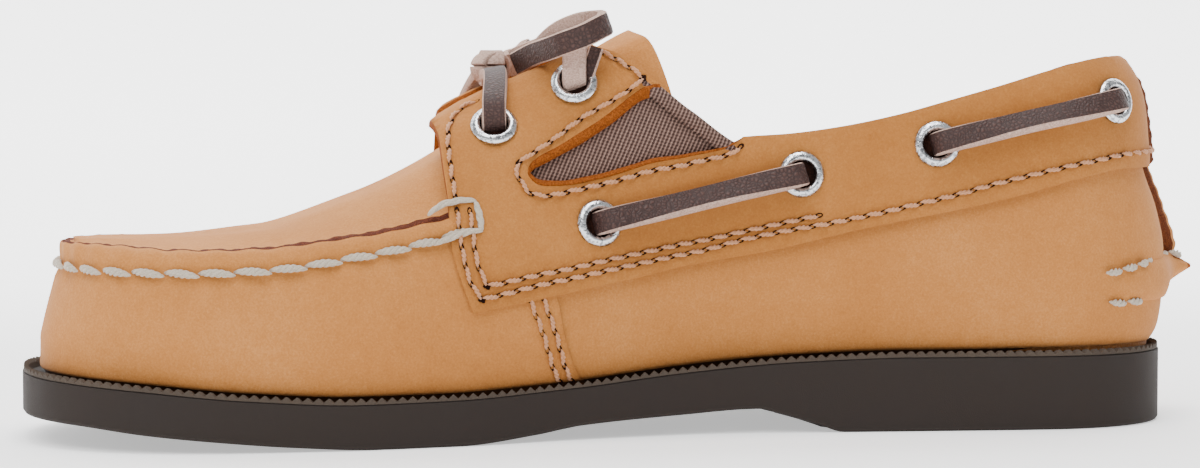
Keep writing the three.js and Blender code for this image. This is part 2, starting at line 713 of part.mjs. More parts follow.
const drilled = (solid) => drills.reduce((left, tool) => left.subtract(tool), solid);

const upperShell = outer.add(proud)
  .subtract(inner)
  .intersect(aboveSole)
  .subtract(aboveCollar)
  .subtract(throat)
  .subtract(goreWindow(1, GAP))
  .subtract(goreWindow(-1, GAP));
const upper = drilled(upperShell);

// Tongue, gores, insole, kicker

const tongueSide = outline([
  { x: 0.312, z: 0.78 },
  { x: 0.322, z: 0.95 },
  { x: 0.336, z: 1.06 },
  { x: 0.345, z: 1.25 },
  { x: 0.545, z: 1.25 },
  { x: 0.545, z: 0.50 },
  { x: 0.40, z: 0.56 },
]);
const tongue = form(-LEATHER - GAP)
  .subtract(form(-LEATHER - GAP - TONGUE_THICK))
  .intersect(sideBar(tongueSide, -TONGUE_HALF, TONGUE_HALF));

const goreShell = form(0).subtract(form(-GORE_THICK));
const goreOf = (sign) => goreShell.intersect(goreWindow(sign, 0)).subtract(throat);

const insoleTop = slab(
  steps(-HEEL_BACK - 20, LENGTH, 18),
  [-FAR, FAR],
  (x) => soleTop(x) + GAP,
  (x) => soleTop(x) + GAP + INSOLE_THICK,
);
const insole = form(-LEATHER - GAP).intersect(insoleTop);

const kickerBar = sideBar(outline(KICKER), -FAR, FAR);
const tailBar = sideBar(outline(TAIL), -TAIL_THICK / 2, TAIL_THICK / 2);
const heelSkin = form(GAP);
const kicker = form(GAP + KICKER_THICK).intersect(kickerBar).add(tailBar).subtract(heelSkin);

// Lace

// A flat strip along points. faceUp gives its face direction at each point.
function strip(points, faces, width, thick) {
  const rings = points.map((point, i) => {
    const ahead = points[Math.min(i + 1, points.length - 1)];
    const behind = points[Math.max(i - 1, 0)];
    const run = ahead.clone().sub(behind).normalize();
    const across = run.clone().cross(faces[i]).normalize();
    const face = across.clone().cross(run).normalize();
    const corner = (a, b) => point.clone()
      .addScaledVector(across, (a * width) / 2)
      .addScaledVector(face, (b * thick) / 2);
    return [corner(-1, 1), corner(1, 1), corner(1, -1), corner(-1, -1)];
  });
  return toSolid(skin(rings, true));
}

// A lace bar from one eyelet to another, over the points between them.
const overFlange = FLANGE_STAND + FLANGE_THICK + GAP + LACE_THICK / 2;
function laceBar(from, to, between, roll, clear = 0) {
  const leave = (frame, aim) => {
    const run = aim.clone().sub(frame.point);
    run.addScaledVector(frame.normal, -run.dot(frame.normal)).normalize();
    return [[0, -0.8], [0, 0.6], [0.6, overFlange], [2.7, overFlange + 0.7]].map(([along, out]) => (
      frame.point.clone().addScaledVector(run, along).addScaledVector(frame.normal, out)));
  };
  const start = leave(from, between[0]);
  const finish = leave(to, between[between.length - 1]).reverse();
  const path = new THREE.CatmullRomCurve3([...start, ...between, ...finish], false, 'centripetal');
  const count = 16;
  const points = path.getPoints(count);
  const faces = points.map((point, i) => {
    const u = i / count;
    const mixed = from.normal.clone().lerp(to.normal, u);
    const run = to.point.clone().sub(from.point).normalize();
    const dip = u < 0.5 ? 1 - u / 0.12 : 1 - (1 - u) / 0.12;
    const face = mixed.clone().addScaledVector(run, (u < 0.5 ? -1 : 1) * 2.5 * Math.max(0, dip));
    const rolled = roll * Math.sin(Math.PI * u) ** 1.3;
    return face.normalize().applyAxisAngle(run, THREE.MathUtils.degToRad(rolled));
  });
  return strip(points, faces, LACE_WIDTH + 2 * clear, LACE_THICK + 2 * clear);
}
const eyeletAt = (side, name) => (
  eyelets.find((one) => one.side.name === side && one.row.name === name).frame);
const sideBarLace = (side, from, to) => {
  const a = eyeletAt(side.name, from);
  const b = eyeletAt(side.name, to);
  const roll = THREE.MathUtils.degToRad(LACE_ROLL);
  const stand = (LACE_WIDTH * Math.sin(roll) + LACE_THICK * Math.cos(roll)) / 2 + 2 * GAP;
  const between = [0.3, 0.5, 0.7].map((u) => {
    const x = a.point.x + (b.point.x - a.point.x) * u;
    const z = a.point.z + (b.point.z - a.point.z) * u;
    const place = seat(x, z, side.sign, GAP + OVERLAY, 1);
    return place.point.addScaledVector(place.normal, stand);
  });
  return laceBar(a, b, between, -side.sign * LACE_ROLL);
};
// Point on the skin at a given distance from the shoe's middle, above the knee.
function overTop(x, y, sign, grow) {
  let low = 0.4;
  let high = 1;
  for (let i = 0; i < 30; i += 1) {
    const v = (low + high) / 2;
    if (skinPoint(atOf(x), v, sign, grow, 1).y * sign > y) low = v;
    else high = v;
  }
  return skinPoint(atOf(x), low, sign, grow, 1);
}
const laceStand = GAP + LACE_THICK / 2 + LACE_CLEAR;
const acrossThroat = (name) => {
  const a = eyeletAt('medial', name);
  const b = eyeletAt('lateral', name);
  const edge = throatHalf(a.point.x) + LACE_CLEAR;
  const edges = [1, -1].map((sign) => {
    const place = overTop(a.point.x, edge, sign, GAP + OVERLAY);
    return place.add(V(0, 0, laceStand));
  });
  const middle = edges[0].clone().lerp(edges[1], 0.5);
  const between = [edges[0], middle, edges[1]];
  return { solid: laceBar(a, b, between, 0), room: laceBar(a, b, between, 0, GAP), middle };
};
const throatFront = acrossThroat('throat_front');
const throatRear = acrossThroat('throat_rear');

// Knot: a rounded lump with the front lace running through it.
const knotCentre = throatFront.middle.clone().add(V(0, 0, KNOT.up));
const knotSolid = toSolid(new THREE.SphereGeometry(1, 12, 6)
  .rotateX(Math.PI / 2)
  .scale(KNOT.length / 2, KNOT.width / 2, KNOT.height / 2)
  .translate(knotCentre.x, knotCentre.y, knotCentre.z));
const knot = knotSolid.subtract(throatFront.room);

// Bow: one loop on each side, lace standing on its edge. Places are measured from the middle of the knot.
function bowLoop(rows) {
  const places = rows.map((row) => knotCentre.clone().add(V(row.x, row.y, row.z)));
  const path = new THREE.CatmullRomCurve3(places);
  const count = 22;
  const points = path.getPoints(count);
  const faces = points.map((point, i) => {
    const ahead = points[Math.min(i + 1, count)];
    const behind = points[Math.max(i - 1, 0)];
    const run = ahead.clone().sub(behind);
    return run.cross(V(0.35, 0, 1));
  });
  return strip(points, faces, LACE_WIDTH, BOW_THICK);
}

// Assembly

const leather = { color: 0xcd9b69, roughness: 0.85, metalness: 0 };
const FINISHES = {
  rubber: { color: 0x4b423c, roughness: 0.75, metalness: 0 },
  leather,
  facing: { ...leather, color: 0xc8904f },
  elastic: { color: 0x8c6e5f, roughness: 0.9, metalness: 0 },
  lining: { color: 0xb98d62, roughness: 0.9, metalness: 0 },
  metal: { color: 0xc8c8c8, roughness: 0.3, metalness: 1 },
  lace: { color: 0x5f4b48, roughness: 0.6, metalness: 0 },
};

const boatShoe = new THREE.Group();
function put(name, geometry, finish) {
  const mesh = new THREE.Mesh(geometry, new THREE.MeshStandardMaterial(FINISHES[finish]));
  mesh.name = name;
  boatShoe.add(mesh);
}

put('outsole', toGeometry(outsole), 'rubber');
put('upper', toGeometry(upper), 'leather');
put('insole', toGeometry(insole), 'lining');
put('tongue', toGeometry(tongue), 'leather');
SIDES.forEach((side) => {
  put(`saddle_${side.name}`, toGeometry(drilled(saddleOf(side.sign))), 'facing');
  put(`gore_${side.name}`, toGeometry(goreOf(side.sign)), 'elastic');
});
put('heel_kicker', toGeometry(kicker), 'leather');
eyelets.forEach((eyelet) => put(eyelet.name, eyeletGeometry(eyelet.frame), 'metal'));
SIDES.forEach((side) => {
  put(`side_lace_${side.name}_front`, toGeometry(sideBarLace(side, 'strap_front', 'strap_middle')), 'lace');
  put(`side_lace_${side.name}_back`, toGeometry(sideBarLace(side, 'strap_back', 'collar_back')), 'lace');
});
put('throat_lace_front', toGeometry(throatFront.solid), 'lace');
put('throat_lace_rear', toGeometry(throatRear.solid), 'lace');
put('bow_knot', toGeometry(knot), 'lace');
put('bow_loop_near', toGeometry(bowLoop(BOW_NEAR)), 'lace');
put('bow_loop_far', toGeometry(bowLoop(BOW_FAR)), 'lace');

export default boatShoe;
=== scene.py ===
# Boat shoe, right foot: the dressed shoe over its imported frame.
# Sizes and places below are in millimetres or in shares of the named sizes. Meshes are made in metres.
import math
import bpy
import numpy as np
from mathutils import Matrix, Vector
from mathutils.geometry import delaunay_2d_cdt


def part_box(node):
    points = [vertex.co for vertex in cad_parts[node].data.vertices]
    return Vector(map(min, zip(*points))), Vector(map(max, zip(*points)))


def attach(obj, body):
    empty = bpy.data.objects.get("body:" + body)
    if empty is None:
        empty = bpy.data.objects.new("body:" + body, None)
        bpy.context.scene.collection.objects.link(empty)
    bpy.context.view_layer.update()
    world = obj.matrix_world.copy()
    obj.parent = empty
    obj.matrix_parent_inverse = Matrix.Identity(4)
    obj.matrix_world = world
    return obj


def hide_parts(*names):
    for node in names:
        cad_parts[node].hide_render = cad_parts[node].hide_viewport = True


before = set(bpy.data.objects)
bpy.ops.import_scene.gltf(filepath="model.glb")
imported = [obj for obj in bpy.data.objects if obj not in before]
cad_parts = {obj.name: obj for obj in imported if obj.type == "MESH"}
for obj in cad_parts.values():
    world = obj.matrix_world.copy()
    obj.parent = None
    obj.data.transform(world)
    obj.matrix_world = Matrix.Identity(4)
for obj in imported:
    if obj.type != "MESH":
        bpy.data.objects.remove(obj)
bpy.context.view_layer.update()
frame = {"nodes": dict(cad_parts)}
MM = 0.001

# Sizes of the sole and the last
LENGTH = 220.0
INNER_GROW = -1.9
EDGE_ROUND = 0.35
DENT_DEPTH = 0.3
DENT_HALF = 0.55
HEEL_BACK = 30.0
BALL_WIDTH = 81.0
HEEL_STACK = 14.3
ARCH = 4.9
RIM_HEIGHT = 0.8
PARTING_LINE = 0.5
TOOTH_PITCH = 1.9
TOOTH_DEPTH = 0.8
LEDGE_DROP = 0.9
TREAD_PITCH = 4.4
TREAD_DEPTH = 0.9
UNDER_INSET = 0.9
HEEL_DRAWN_IN = 0.9
COLLAR_HEIGHT = 71.0
WELT_TOE = 3.9
WELT_HEEL = 2.2
TOE_RAKE = 5.5
TOE_WALL = 6.0
TOE_TOP = 0.52
LATERAL_DROP = 5.5
LATERAL_DROP_END = 0.46
LAP_STEP = 0.7
GAP = 0.3
FACING_FLARE = 6.0
TONGUE_HALF = 17.5
THROAT_FRONT = 8.0
THROAT_REAR = 13.0
THROAT_WIDE_TO = 0.33
THROAT_NARROW_FROM = 0.51
RISE = 85.0

# Sizes of the trim
EYELET_RADIUS = 4.4
EYELET_HOLE = 2.6
FLANGE_STAND = 0.4
FLANGE_THICK = 0.9
LACE_WIDTH = 4.4
LACE_THICK = 2.0
LACE_ROLL = 33.0
BOW_THICK = 1.9
LOCK_PITCH = 3.5
LOCK_RADIUS = 0.42
HAND_PITCH = 6.3
HAND_RADIUS = 0.72
KICKER_PITCH = 3.9
KICKER_RADIUS = 0.7
LOOP_RADIUS = 0.62
TUCK_WIDTH = 2.6
TUCK_THICK = 0.9

SOLE = """
at centre half top
0.00 0.000 0.341 1.000
0.13 0.000 0.347 1.000
0.25 -0.014 0.344 1.000
0.35 -0.038 0.347 0.952
0.45 -0.058 0.373 0.835
0.55 -0.056 0.428 0.690
0.65 -0.035 0.484 0.607
0.73 -0.015 0.500 0.594
0.82 0.009 0.488 0.670
0.90 0.035 0.469 0.783
1.00 0.069 0.446 0.900
"""
UNDER = """
at rise
0.00 0.00
0.31 0.00
0.335 0.34
0.36 0.66
0.385 0.93
0.45 0.77
0.54 0.53
0.58 0.26
0.645 0.00
0.715 0.00
0.78 0.15
0.84 0.38
0.90 0.63
0.95 0.88
1.00 1.00
"""
LAST = """
at foot belly bellyUp knee kneeUp crest crestUp crown ridge flare
0.00 0.60 0.680 0.42 0.61 0.70 0.51 1.01 1.18 0.00 0
0.083 0.60 0.680 0.42 0.61 0.70 0.51 1.00 1.18 0.00 0
0.174 0.60 0.640 0.41 0.57 0.67 0.485 0.93 1.16 0.00 0
0.29 0.58 0.600 0.38 0.535 0.60 0.47 0.84 1.15 0.00 0
0.39 0.59 0.600 0.35 0.54 0.55 0.46 0.82 1.18 0.00 0
0.445 0.63 0.640 0.34 0.565 0.535 0.435 0.90 1.16 0.01 0
0.49 0.68 0.690 0.32 0.605 0.535 0.395 0.955 1.09 0.02 0
0.527 0.73 0.735 0.31 0.64 0.535 0.35 0.95 1.025 0.02 0
0.568 0.78 0.790 0.30 0.69 0.53 0.36 0.885 0.945 0.02 0.15
0.609 0.82 0.835 0.29 0.735 0.525 0.375 0.80 0.855 0.02 0.55
0.65 0.855 0.875 0.28 0.745 0.540 0.395 0.715 0.75 0.02 1
0.727 0.885 0.920 0.28 0.78 0.520 0.43 0.610 0.632 0.02 1
0.818 0.865 0.900 0.29 0.775 0.488 0.42 0.535 0.543 0.03 1
0.909 0.82 0.840 0.30 0.72 0.490 0.37 0.515 0.52 0.07 1
1.00 0.77 0.790 0.31 0.67 0.500 0.35 0.518 0.52 0.13 1
"""
BACK_CURVE = """
at out
0.00 0.000
0.08 0.030
0.19 0.040
0.33 0.043
0.47 0.025
0.63 -0.013
0.82 -0.026
0.905 -0.045
0.95 -0.066
1.00 -0.098
1.20 -0.240
"""
COLLAR = """
at up
0.00 0.99
0.05 1.00
0.08 0.99
0.12 0.961
0.17 0.914
0.21 0.879
0.26 0.837
0.31 0.806
0.355 0.788
0.40 0.779
0.42 0.765
"""

# Rows below are places in side view: x in shares of LENGTH, z in shares of COLLAR_HEIGHT.
SADDLE_FRONT = "0.497 0.336  0.505 0.404  0.513 0.487  0.518 0.570  0.521 0.650" \
    "  0.523 0.740  0.521 0.832  0.513 0.862"
SADDLE_BACK_TOP = "0.391 1.040  0.380 1.022  0.360 0.997  0.342 0.950  0.330 0.921"
GORE_UPPER = "0.330 0.921  0.387 0.817  0.444 0.713"
GORE_LOWER = "0.447 0.690  0.440 0.663  0.422 0.657  0.395 0.667" \
    "  0.343 0.711  0.296 0.737  0.274 0.752  0.259 0.779"
SADDLE_UNDER = "-0.072 0.692  -0.033 0.669  0.019 0.625  0.070 0.589  0.156 0.537  0.251 0.472  0.296 0.451" \
    "  0.399 0.390  0.497 0.336"
GORE = "0.262 0.735  0.296 0.705  0.343 0.678  0.395 0.634  0.425 0.622  0.455 0.640  0.462 0.690" \
    "  0.456 0.735  0.400 0.835  0.352 0.925"
LAP_EDGE = "0.396 0.100  0.4019 0.157  0.4187 0.283  0.4262 0.377  0.450 0.470  0.500 0.560"
SEAM = "0.8279 0.449  0.8112 0.4435  0.7918 0.441  0.7703 0.4396  0.7457 0.4384  0.7203 0.4376" \
    "  0.6933 0.441  0.6685 0.4446  0.642 0.452  0.6128 0.4647  0.5818 0.481  0.5553 0.4963" \
    "  0.5261 0.515  0.4929 0.5433"
LIP_EDGE = "0.8204 0.508  0.8105 0.509  0.7893 0.5075  0.7724 0.5047  0.7564 0.5009  0.7437 0.4985" \
    "  0.7006 0.4988  0.6741 0.5020  0.6433 0.5098  0.6116 0.5230  0.5849 0.5345" \
    "  0.5725 0.5398  0.5559 0.5504  0.5384 0.5623  0.5216 0.5717  0.4900 0.5960"
KICKER_TOP = "-0.050 0.411  -0.0771 0.4264  -0.098 0.4365  -0.125 0.441"
KICKER_LOW = "-0.054 0.334  -0.0758 0.335  -0.0955 0.337"

EYELETS = """
name x z
throat_front 0.472 0.810
throat_rear 0.402 0.921
strap_front 0.387 0.558
strap_middle 0.209 0.680
strap_back 0.091 0.759
collar_back -0.070 0.873
"""

# Rows of machine stitches, in side view
STITCH_ROWS = {
    "lower": "0.4901 0.3718  0.4464 0.4000  0.4017 0.424  0.3521 0.4525  0.2984 0.4810  0.2691 0.5030"
             "  0.2284 0.5291  0.1834 0.552  0.1453 0.5752  0.1168 0.5950  0.0729 0.6275  0.0417 0.6540"
             "  -0.0023 0.6866  -0.0426 0.7120  -0.075 0.7290",
    "upper": "0.4856 0.4053  0.4488 0.4253  0.4138 0.4428  0.3518 0.4790  0.2982 0.5075  0.2628 0.5290"
             "  0.2282 0.5510  0.1944 0.5720",
    "front_inner": "0.4856 0.4053  0.4898 0.4320  0.4927 0.456  0.4963 0.5088  0.5017 0.5942",
    "front_outer": "0.4901 0.3718  0.4999 0.4164  0.506 0.4992  0.5125 0.5945",
    "facing_front": "0.5143 0.627  0.5161 0.6885  0.5162 0.7656  0.5119 0.8077  0.5034 0.8399  0.4889 0.866",
    "facing_back": "0.3904 1.0056  0.376 1.0002  0.3585 0.9683  0.3443 0.9341",
    "gore_upper": "0.3443 0.9341  0.3515 0.9131  0.3818 0.8557  0.4175 0.7858  0.4555 0.7145",
    "gore_nose": "0.4555 0.7145  0.4590 0.6960  0.4571 0.6776  0.4485 0.6406  0.435 0.6299  0.4167 0.6369"
                 "  0.3813 0.6589  0.3149 0.704  0.2706 0.7346  0.2612 0.7540",
}
LAP_ROWS = {
    "lap_inner": "0.438 0.372  0.4246 0.2600  0.4106 0.1506",
    "lap_outer": "0.4493 0.368  0.4350 0.2550  0.4212 0.1494",
}

# Routes of the two bow loops, in millimetres from the middle of the knot.
BOW_NEAR = """
x y z
-5.0 4.4 0.9
-7.3 11.5 2.6
-9.4 18.6 3.6
-11.6 22.4 4.6
-14.8 23.4 5.8
-17.6 22.6 7.2
-19.2 20.9 8.0
-18.8 18.8 8.4
-15.5 18.0 8.2
-12.0 15.2 7.6
-9.0 10.5 6.6
-6.8 5.5 5.6
-5.0 2.0 4.6
"""
BOW_FAR = """
x y z
-5.0 -3.6 0.6
-5.6 -8.0 1.6
-5.8 -12.5 1.2
-6.0 -16.5 -1.0
-7.0 -19.2 -2.6
-8.8 -19.2 -2.6
-9.8 -16.0 1.0
-9.4 -12.0 3.2
-8.6 -7.5 3.4
-6.9 -3.6 2.2
"""


def columns(text):
    head, *lines = text.strip().splitlines()
    grid = np.array([[float(word) for word in line.split()] for line in lines])
    return dict(zip(head.split(), grid.T))


def side_row(text):
    """Points of a side-view row, in millimetres."""
    pairs = np.array([float(word) for word in text.split()]).reshape(-1, 2)
    return pairs * [LENGTH, COLLAR_HEIGHT]


SOLE_ROWS = columns(SOLE)
UNDER_ROWS = columns(UNDER)
LAST_ROWS = columns(LAST)
BACK_ROWS = columns(BACK_CURVE)
COLLAR_ROWS = columns(COLLAR)


def follow_knots(knots, values, at, level_end=False):
    """Smooth value between knots: cubic pieces that never overshoot. Each place may have its own values."""
    step = np.diff(knots)
    slope = np.diff(values, axis=0) / step.reshape(-1, *[1] * (values.ndim - 1))
    tangent = np.zeros_like(values)
    tangent[0] = slope[0]
    tangent[-1] = 0 if level_end else slope[-1]
    same = slope[:-1] * slope[1:] > 0
    total = np.where(same, slope[:-1] + slope[1:], 1)
    tangent[1:-1] = np.where(same, 2 * slope[:-1] * slope[1:] / total, 0)
    t = np.clip(at, knots[0], knots[-1])
    i = np.clip(np.searchsorted(knots, t, side="left") - 1, 0, len(knots) - 2)
    width = knots[i + 1] - knots[i]
    u = (t - knots[i]) / width
    pick = (i,) if values.ndim == 1 else (i, np.arange(values.shape[1]))
    after = (i + 1, *pick[1:])
    rise = u * u * (3 - 2 * u)
    bend = tangent[pick] * u * (1 - u) ** 2 - tangent[after] * u * u * (1 - u)
    return values[pick] + (values[after] - values[pick]) * rise + width * bend


def follow(rows, column, at):
    return follow_knots(rows["at"], rows[column], np.asarray(at, float))


def roundness(at):
    """Roundness of the plan at both ends: 0 at the tips, 1 along the middle."""
    heel = np.clip(1 - at / 0.13, 0, 1)
    toe = np.clip((at - 0.80) / 0.20, 0, 1)
    return (1 - heel ** 2.25) ** (1 / 2.25) * (1 - toe ** 2.35) ** (1 / 2.35)


def at_of(x):
    return np.clip((np.asarray(x, float) + HEEL_BACK) / LENGTH, 0, 1)


def sole_top(x):
    return HEEL_STACK * follow(SOLE_ROWS, "top", at_of(x))


def sole_under(x):
    return ARCH * follow(UNDER_ROWS, "rise", at_of(x))


def along_last(at):
    return -HEEL_BACK + WELT_HEEL + at * (LENGTH - WELT_HEEL - WELT_TOE)


def skin(at, v, sign, grow=0.0, lift=0.0):
    """Point of the last's skin, grown outwards. sign is 1 on the medial side and -1 on the lateral side."""
    given = np.broadcast_arrays(*[np.asarray(a, float) for a in (at, v, sign, grow, lift)])
    shape = given[0].shape
    at, v, sign, grow, lift = [a.ravel() for a in given]

    def half(column):
        return BALL_WIDTH / 2 * follow(LAST_ROWS, column, at)

    def up(column):
        return COLLAR_HEIGHT * follow(LAST_ROWS, column, at)

    raised = lift * FACING_FLARE * follow(LAST_ROWS, "flare", at)
    crest, crest_z, crown = half("crest"), up("crestUp") + raised, up("crown") + raised
    foot, belly, foot_z, belly_z = half("foot"), half("belly"), sole_top(along_last(at)), up("bellyUp")
    shares = np.array([0, 0.07, 0.2, 0.4, 0.6, 0.8, 1.0])
    ys = np.array([foot, foot + 0.65 * (belly - foot), belly, half("knee"), crest, 0.6 * crest, 0 * crest])
    zs = np.array([foot_z, foot_z + 0.18 * (belly_z - foot_z), belly_z, up("kneeUp"), crest_z,
                   crest_z + 0.8 * (crown - crest_z), crown])
    y = follow_knots(shares, ys, v)
    z = follow_knots(shares, zs, v, level_end=True)
    high = (z - HEEL_STACK) / (COLLAR_HEIGHT - HEEL_STACK)
    back = BALL_WIDTH * follow(BACK_ROWS, "out", high) * (1 - at) ** 9
    rake_from = sole_top(LENGTH - HEEL_BACK) + TOE_WALL
    raked = np.maximum(0, (z - rake_from) / (TOE_TOP * COLLAR_HEIGHT - rake_from)) ** 1.1
    x = along_last(at) - back - TOE_RAKE * raked * at ** 12 + grow * (2 * at - 1) ** 9
    lean = np.clip((z - sole_top(x)) / (0.6 * COLLAR_HEIGHT), 0, 1)
    centre = (1 - lean) * BALL_WIDTH * follow(SOLE_ROWS, "centre", at)
    centre = centre + lean * BALL_WIDTH / 2 * follow(LAST_ROWS, "ridge", at)
    steep = np.sin(np.pi / 2 * np.clip((v - 0.4) / 0.5, 0, 1))
    wide = np.where(y > 1e-6, y + grow * (1 - 0.35 * steep), 0)
    point = np.stack([x, centre + sign * wide * roundness(at), z + grow * steep], -1)
    return point.reshape(*shape, 3)


# Way round the last, measured along its belly, so that steps stay even round heel and toe.
PLAN_AT = (1 - np.cos(np.linspace(0, np.pi, 1500))) / 2
plan = skin(PLAN_AT, 0.2, 1)[:, :2]
PLAN_WAY = np.concatenate([[0], np.cumsum(np.hypot(*np.diff(plan, axis=0).T))])
WAY_END = PLAN_WAY[-1]


def way_of(at):
    return np.interp(at, PLAN_AT, PLAN_WAY)


def place(way, up, sign, grow=0.0, lift=0.0):
    """Point on the skin by its way round the last and its height up the wall, both in millimetres."""
    at = np.interp(way, PLAN_WAY, PLAN_AT)
    point = skin(at, np.clip(np.asarray(up) / RISE, 0, 1), sign, grow, lift)
    point[..., 2] += np.minimum(up, 0)
    return point


def facing_out(way, up, sign, lift=0.0):
    """Outward normal of the skin."""
    step = 0.5
    low, high = np.maximum(way - step, 0), np.minimum(way + step, WAY_END)
    run = place(high, up, sign, 0, lift) - place(low, up, sign, 0, lift)
    above, below = np.minimum(up + step, RISE), np.maximum(up, 0) - step
    rise = place(way, above, sign, 0, lift) - place(way, below, sign, 0, lift)
    normal = -sign * np.cross(run, rise)
    return normal / np.maximum(np.linalg.norm(normal, axis=-1, keepdims=True), 1e-9)


def locate(x, z, sign=1, grow=0.0, lift=0.0):
    """Way and height on the skin of a place in side view."""
    x, z = np.broadcast_arrays(np.atleast_1d(np.asarray(x, float)), np.atleast_1d(np.asarray(z, float)))
    at = at_of(x)
    for _ in range(7):
        low, high = np.zeros(len(at)), np.full(len(at), 0.97)
        for _ in range(20):
            v = (low + high) / 2
            below = skin(at, v, sign, grow, lift)[:, 2] < z
            low, high = np.where(below, v, low), np.where(below, high, v)
        at = np.clip(at + (x - skin(at, v, sign, grow, lift)[:, 0]) / LENGTH, 0, 1)
    return np.stack([way_of(at), v * RISE], -1)


def side_drop(x, sign):
    """How much lower the lateral topline lies."""
    if sign > 0:
        return 0 * x
    return LATERAL_DROP * np.clip((x + 22) / 24, 0, 1) * np.clip((LATERAL_DROP_END * LENGTH - x) / 20, 0, 1)


def located(text, sign, grow=0.0, lift=0.0):
    """Way and height of every point of a side-view row."""
    row = side_row(text)
    return locate(row[:, 0], row[:, 1] - side_drop(row[:, 0], sign), sign, grow, lift)


def throat_half(x):
    along = (x / LENGTH - THROAT_WIDE_TO) / (THROAT_NARROW_FROM - THROAT_WIDE_TO)
    return THROAT_REAR + (THROAT_FRONT - THROAT_REAR) * np.clip(along, 0, 1)


def up_to_side(x, side, sign, grow=0.0, lift=0.0):
    """Height up the wall, over the knee, where the skin is that far from the ridge."""
    at = at_of(x)
    low, high = np.full(np.shape(x), 0.4), np.ones(np.shape(x))
    ridge = BALL_WIDTH / 2 * follow(LAST_ROWS, "ridge", at)
    for _ in range(24):
        v = (low + high) / 2
        outside = (skin(at, v, sign, grow, lift)[..., 1] - ridge) * sign > side
        low, high = np.where(outside, v, low), np.where(outside, high, v)
    return v * RISE


def smooth_run(points, step=0.5):
    """Evenly stepped smooth line through the points."""
    points = np.asarray(points, float)
    ends = np.vstack([2 * points[0] - points[1], points, 2 * points[-1] - points[-2]])
    parts = []
    for k in range(len(points) - 1):
        p0, p1, p2, p3 = ends[k:k + 4]
        d0, d1, d2 = [max(np.linalg.norm(b - a), 1e-6) ** 0.5 for a, b in ((p0, p1), (p1, p2), (p2, p3))]
        t1 = ((p1 - p0) / d0 - (p2 - p0) / (d0 + d1) + (p2 - p1) / d1) * d1
        t2 = ((p2 - p1) / d1 - (p3 - p1) / (d1 + d2) + (p3 - p2) / d2) * d1
        u = np.linspace(0, 1, 12, endpoint=False)[:, None]
        parts.append((2 * u ** 3 - 3 * u ** 2 + 1) * p1 + (u ** 3 - 2 * u ** 2 + u) * t1
                     + (3 * u ** 2 - 2 * u ** 3) * p2 + (u ** 3 - u ** 2) * t2)
    line = np.vstack([*parts, points[-1:]])
    return even_run(line, step)


def way_along(line):
    return np.concatenate([[0], np.cumsum(np.linalg.norm(np.diff(line, axis=0), axis=1))])


def read_off(stops, way, values):
    """Values at stops along a way, column by column."""
    return np.stack([np.interp(stops, way, values[:, k]) for k in range(values.shape[1])], -1)


def even_run(line, step):
    way = way_along(line)
    count = max(2, int(round(way[-1] / step)) + 1)
    return read_off(np.linspace(0, way[-1], count), way, line)


def on_skin(rows, sign, grow=0.0, lift=0.0):
    """Points on the skin and their outward normals, for rows of way and height."""
    way, up = rows.T
    return place(way, up, sign, grow, lift), facing_out(way, up, sign, lift)


def unit(vectors):
    return vectors / np.maximum(np.linalg.norm(vectors, axis=-1, keepdims=True), 1e-9)


# Camera at the photo's angle
def set_camera():
    turn, tilt, away, height, aim = math.radians(9.388), math.radians(2.769), 560.0, 63.43, 80.62
    ahead = Vector((-math.sin(turn) * math.cos(tilt), -math.cos(turn) * math.cos(tilt), -math.sin(tilt)))
    right = Vector((-math.cos(turn), math.sin(turn), 0))
    above = right.cross(ahead)
    camera = bpy.data.objects.new("photo_camera", bpy.data.cameras.new("photo_camera"))
    camera.data.lens = 87.13
    camera.data.sensor_width = 36.0
    camera.data.clip_start = 0.01
    camera.data.clip_end = 50
    spot = Vector((aim + away * math.sin(turn), away * math.cos(turn), height)) * MM
    camera.matrix_world = Matrix.Translation(spot) @ Matrix((right, above, -ahead)).transposed().to_4x4()
    bpy.context.scene.collection.objects.link(camera)
    bpy.context.scene.camera = camera


set_camera()


# Finishes

class Value:
    """A socket that takes part in sums."""

    def __init__(self, finish, socket):
        self.finish = finish
        self.socket = socket

    def join(self, operation, other):
        return self.finish.node("Math", {"operation": operation}, {0: self, 1: other})

    def __add__(self, other):
        return self.join("ADD", other)

    def __sub__(self, other):
        return self.join("SUBTRACT", other)

    def __mul__(self, other):
        return self.join("MULTIPLY", other)

    __radd__ = __add__
    __rmul__ = __mul__


